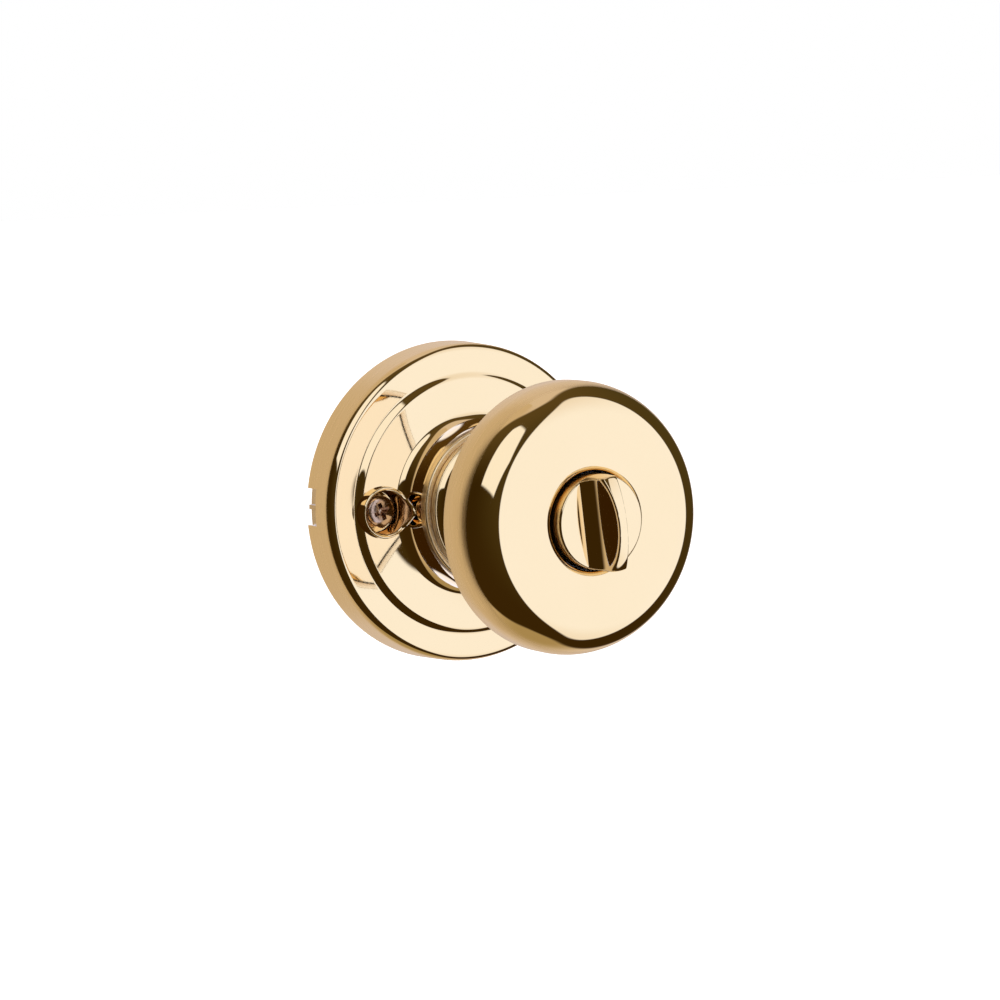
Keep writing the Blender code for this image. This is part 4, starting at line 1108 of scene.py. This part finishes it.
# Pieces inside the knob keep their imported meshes.
HIDDEN = {
    "spring_cage": zinc_steel,
    "return_spring": spring_steel,
    "rose_bushing": nylon,
    "spring_driver": zinc_steel,
    "shank_pin": zinc_steel,
    "knob_core": cast_zinc,
    "spindle_collar": zinc_steel,
    "wave_washer": spring_steel,
    "button_clip": spring_steel,
}
for node_name, node_material in HIDDEN.items():
    node_mesh = frame["nodes"][node_name].data
    node_mesh.materials.clear()
    node_mesh.materials.append(node_material)


# -------------------------------------------------------------------------------- studio

def direction(azimuth, elevation):
    """A unit vector. Azimuth 0 is straight out of the door, and 90 is to the left of the knob."""
    a, e = math.radians(azimuth), math.radians(elevation)
    return Vector((-math.sin(a) * math.cos(e), -math.cos(a) * math.cos(e), math.sin(e)))


def env_colour(colour):
    """The light that polished brass reflects as this colour, given on a scale to 255."""
    linear = [((value / 255 + 0.055) / 1.055) ** 2.4 for value in colour]
    return tuple(value / (warm + pale) * 2 for value, warm, pale in zip(linear, BRASS_WARM, BRASS_PALE))


def rgb_node(tree, value):
    """A fixed colour's output."""
    node = tree.nodes.new("ShaderNodeRGB")
    node.outputs[0].default_value = (*value, 1.0)
    return node.outputs[0]


def brass_shade(tree, colour):
    """The output of the light that polished brass reflects as this colour."""
    return rgb_node(tree, env_colour(colour))


def over(tree, base, top, mask):
    """The colour top laid over base where the mask is 1."""
    node = tree.nodes.new("ShaderNodeMix")
    node.data_type = "RGBA"
    tree.links.new(mask, node.inputs["Factor"])
    tree.links.new(base, node.inputs["A"])
    tree.links.new(top, node.inputs["B"])
    return node.outputs["Result"]


def oval_mask(tree, u, v, power, soft):
    """1 inside the rounded square of half-size 1, and 0 outside it."""
    total = math_node(
        tree,
        "ADD",
        math_node(tree, "POWER", math_node(tree, "ABSOLUTE", u), power),
        math_node(tree, "POWER", math_node(tree, "ABSOLUTE", v), power),
    )
    return ramp(tree, total, 1 - soft, 1 + soft, 1.0, 0.0)


def polygon_mask(tree, place, corners, soft):
    """1 inside a convex patch of the sky given by its corners, and 0 outside it."""
    middle = sum((direction(*corner) for corner in corners), Vector())
    mask = None
    for start, end in zip(corners, corners[1:] + corners[:1]):
        normal = direction(*start).cross(direction(*end)).normalized()
        if normal.dot(middle) < 0:
            normal = -normal
        node = tree.nodes.new("ShaderNodeVectorMath")
        node.operation = "DOT_PRODUCT"
        tree.links.new(place, node.inputs[0])
        node.inputs[1].default_value = normal
        side = ramp(tree, node.outputs["Value"], -soft, soft)
        mask = side if mask is None else math_node(tree, "MULTIPLY", mask, side)
    return mask


# The zones of the studio, as azimuths and elevations in degrees.
SOFTBOX_CORNERS = [(62, 23), (52, 53), (40, 61), (24, 60), (7, 45), (8, 21), (23, 9)]
DARK_AZIMUTH = -11
DARK_HALF_WIDTH = 119
DARK_HALF_HEIGHT = 77
PANEL_AZIMUTH = -36.5
PANEL_HALF_WIDTH = 38.5
PANEL_HALF_HEIGHT = 62
# How far the panel's middle moves aside at one elevation.
PANEL_BEND = 9.5
PANEL_BEND_ELEVATION = 52
# The colours that polished brass shows where it reflects each zone, on a scale to 255.
TAN_RIGHT = (214, 180, 134)
TAN_LEFT = (203, 166, 112)
TAN_BELOW = (168, 134, 76)
TAN_TWICE = (252, 226, 186)
DARK_RIGHT = (74, 55, 18)
DARK_LEFT = (52, 32, 2)
DARK_BELOW = (56, 34, 3)
DARK_ABOVE = (88, 64, 24)
SOFTBOX_GLOW = (254, 232, 194)
PANEL_CREAM = (254, 235, 203)
PANEL_ABOVE = (240, 214, 174)
PANEL_BELOW = (246, 222, 184)
# Ray Depth in a world counts one more than the reflections: 2 after one, 3 after two.
FIRST_REFLECTION, SECOND_REFLECTION = 2, 3


def build_world():
    """The studio that the metal reflects: a dark room with a pale panel, a softbox and tan walls.

    The camera sees white instead, and a second reflection sees pale walls where a first one sees tan.
    """
    world = bpy.data.worlds.new("studio")
    bpy.context.scene.world = world
    world.use_nodes = True
    tree = world.node_tree
    tree.nodes.clear()
    links = tree.links
    place = tree.nodes.new("ShaderNodeTexCoord").outputs["Generated"]
    parts = tree.nodes.new("ShaderNodeSeparateXYZ")
    links.new(place, parts.inputs[0])
    x, y, z = parts.outputs
    azimuth = math_node(tree, "ARCTAN2", affine(tree, x, -1.0, 0.0), affine(tree, y, -1.0, 0.0))
    azimuth = affine(tree, azimuth, 180 / math.pi, 0.0)
    elevation = affine(tree, math_node(tree, "ARCSINE", z), 180 / math.pi, 0.0)

    left = ramp(tree, azimuth, -20.0, 80.0)
    low = ramp(tree, elevation, 20.0, -50.0)
    high = ramp(tree, elevation, 20.0, 70.0)
    tan = over(tree, brass_shade(tree, TAN_RIGHT), brass_shade(tree, TAN_LEFT), left)
    tan = over(tree, tan, brass_shade(tree, TAN_BELOW), ramp(tree, elevation, -45.0, -80.0))
    depth = tree.nodes.new("ShaderNodeLightPath").outputs["Ray Depth"]
    twice = [value / tint for value, tint in zip(env_colour(TAN_TWICE), BRASS_WARM)]
    again = ramp(tree, depth, FIRST_REFLECTION + 0.2, SECOND_REFLECTION - 0.2)
    tan = over(tree, tan, rgb_node(tree, twice), again)
    dark = over(tree, brass_shade(tree, DARK_RIGHT), brass_shade(tree, DARK_LEFT), left)
    dark = over(tree, dark, brass_shade(tree, DARK_BELOW), low)
    dark = over(tree, dark, brass_shade(tree, DARK_ABOVE), high)
    u = affine(tree, azimuth, 1 / DARK_HALF_WIDTH, -DARK_AZIMUTH / DARK_HALF_WIDTH)
    v = affine(tree, elevation, 1 / DARK_HALF_HEIGHT, 0.0)
    colour = over(tree, tan, dark, oval_mask(tree, u, v, 5.0, 0.16))

    softbox = polygon_mask(tree, place, SOFTBOX_CORNERS, 0.02)
    colour = over(tree, colour, brass_shade(tree, SOFTBOX_GLOW), softbox)

    bend = math_node(tree, "MULTIPLY", elevation, elevation)
    aside = PANEL_BEND / PANEL_BEND_ELEVATION**2 / PANEL_HALF_WIDTH
    straight = affine(tree, azimuth, 1 / PANEL_HALF_WIDTH, -PANEL_AZIMUTH / PANEL_HALF_WIDTH)
    u = math_node(tree, "ADD", straight, affine(tree, bend, aside, 0.0))
    v = affine(tree, elevation, 1 / PANEL_HALF_HEIGHT, 0.0)
    panel = oval_mask(tree, u, v, 2.3, 0.07)
    cream = over(tree, brass_shade(tree, PANEL_CREAM), brass_shade(tree, PANEL_ABOVE), high)
    cream = over(tree, cream, brass_shade(tree, PANEL_BELOW), ramp(tree, elevation, -30.0, -60.0))
    colour = over(tree, colour, cream, panel)

    surround = tree.nodes.new("ShaderNodeBackground")
    links.new(colour, surround.inputs["Color"])
    white = tree.nodes.new("ShaderNodeBackground")
    white.inputs["Color"].default_value = (1.0, 1.0, 1.0, 1.0)
    is_camera = tree.nodes.new("ShaderNodeLightPath").outputs["Is Camera Ray"]
    mix = tree.nodes.new("ShaderNodeMixShader")
    links.new(is_camera, mix.inputs[0])
    links.new(surround.outputs[0], mix.inputs[1])
    links.new(white.outputs[0], mix.inputs[2])
    out = tree.nodes.new("ShaderNodeOutputWorld")
    links.new(mix.outputs[0], out.inputs[0])


FLOOR_HEIGHT = -0.6


def build_floor():
    """A pale floor far below, which no reflection shows."""

    def build(mesh):
        bmesh.ops.create_grid(mesh, x_segments=8, y_segments=8, size=30.0)

    data = mesh_from("floor", build)
    data.transform(Matrix.Translation((0.0, 0.0, FLOOR_HEIGHT)))
    material, nodes, _ = new_material("pale_floor")
    shader = nodes["Principled BSDF"]
    shader.inputs["Base Color"].default_value = (0.9, 0.9, 0.9, 1.0)
    shader.inputs["Roughness"].default_value = 0.9
    shader.inputs["Emission Color"].default_value = (1.0, 1.0, 1.0, 1.0)
    shader.inputs["Emission Strength"].default_value = 1.0
    data.materials.append(material)
    floor = bpy.data.objects.new("floor", data)
    bpy.context.scene.collection.objects.link(floor)
    floor.visible_glossy = False
    floor.visible_diffuse = False


CAMERA_AZIMUTH = 30.43
CAMERA_ELEVATION = 4.94
CAMERA_ROLL = math.radians(2.3)
CAMERA_DISTANCE = 0.7
CAMERA_TARGET = Vector((0.0, -0.030, 0.0))
CAMERA_LENS = 128.08
CAMERA_SHIFT = (-0.0238, 0.0107)


def build_camera():
    """The camera, rolled about the knob's axis."""
    data = bpy.data.cameras.new("camera")
    data.lens = CAMERA_LENS
    data.sensor_width = 36.0
    data.shift_x, data.shift_y = CAMERA_SHIFT
    back = direction(CAMERA_AZIMUTH, CAMERA_ELEVATION)
    right = Vector((0.0, 0.0, 1.0)).cross(back).normalized()
    up = back.cross(right)
    turn = Matrix.Rotation(CAMERA_ROLL, 3, "Y")
    axes = Matrix((right, up, back)).transposed()
    place = (turn @ axes).to_4x4()
    place.translation = CAMERA_TARGET + turn @ back * CAMERA_DISTANCE
    camera = bpy.data.objects.new("camera", data)
    camera.matrix_world = place
    bpy.context.scene.collection.objects.link(camera)
    bpy.context.scene.camera = camera


build_world()
build_floor()
build_camera()
bpy.context.scene.view_settings.view_transform = "Standard"
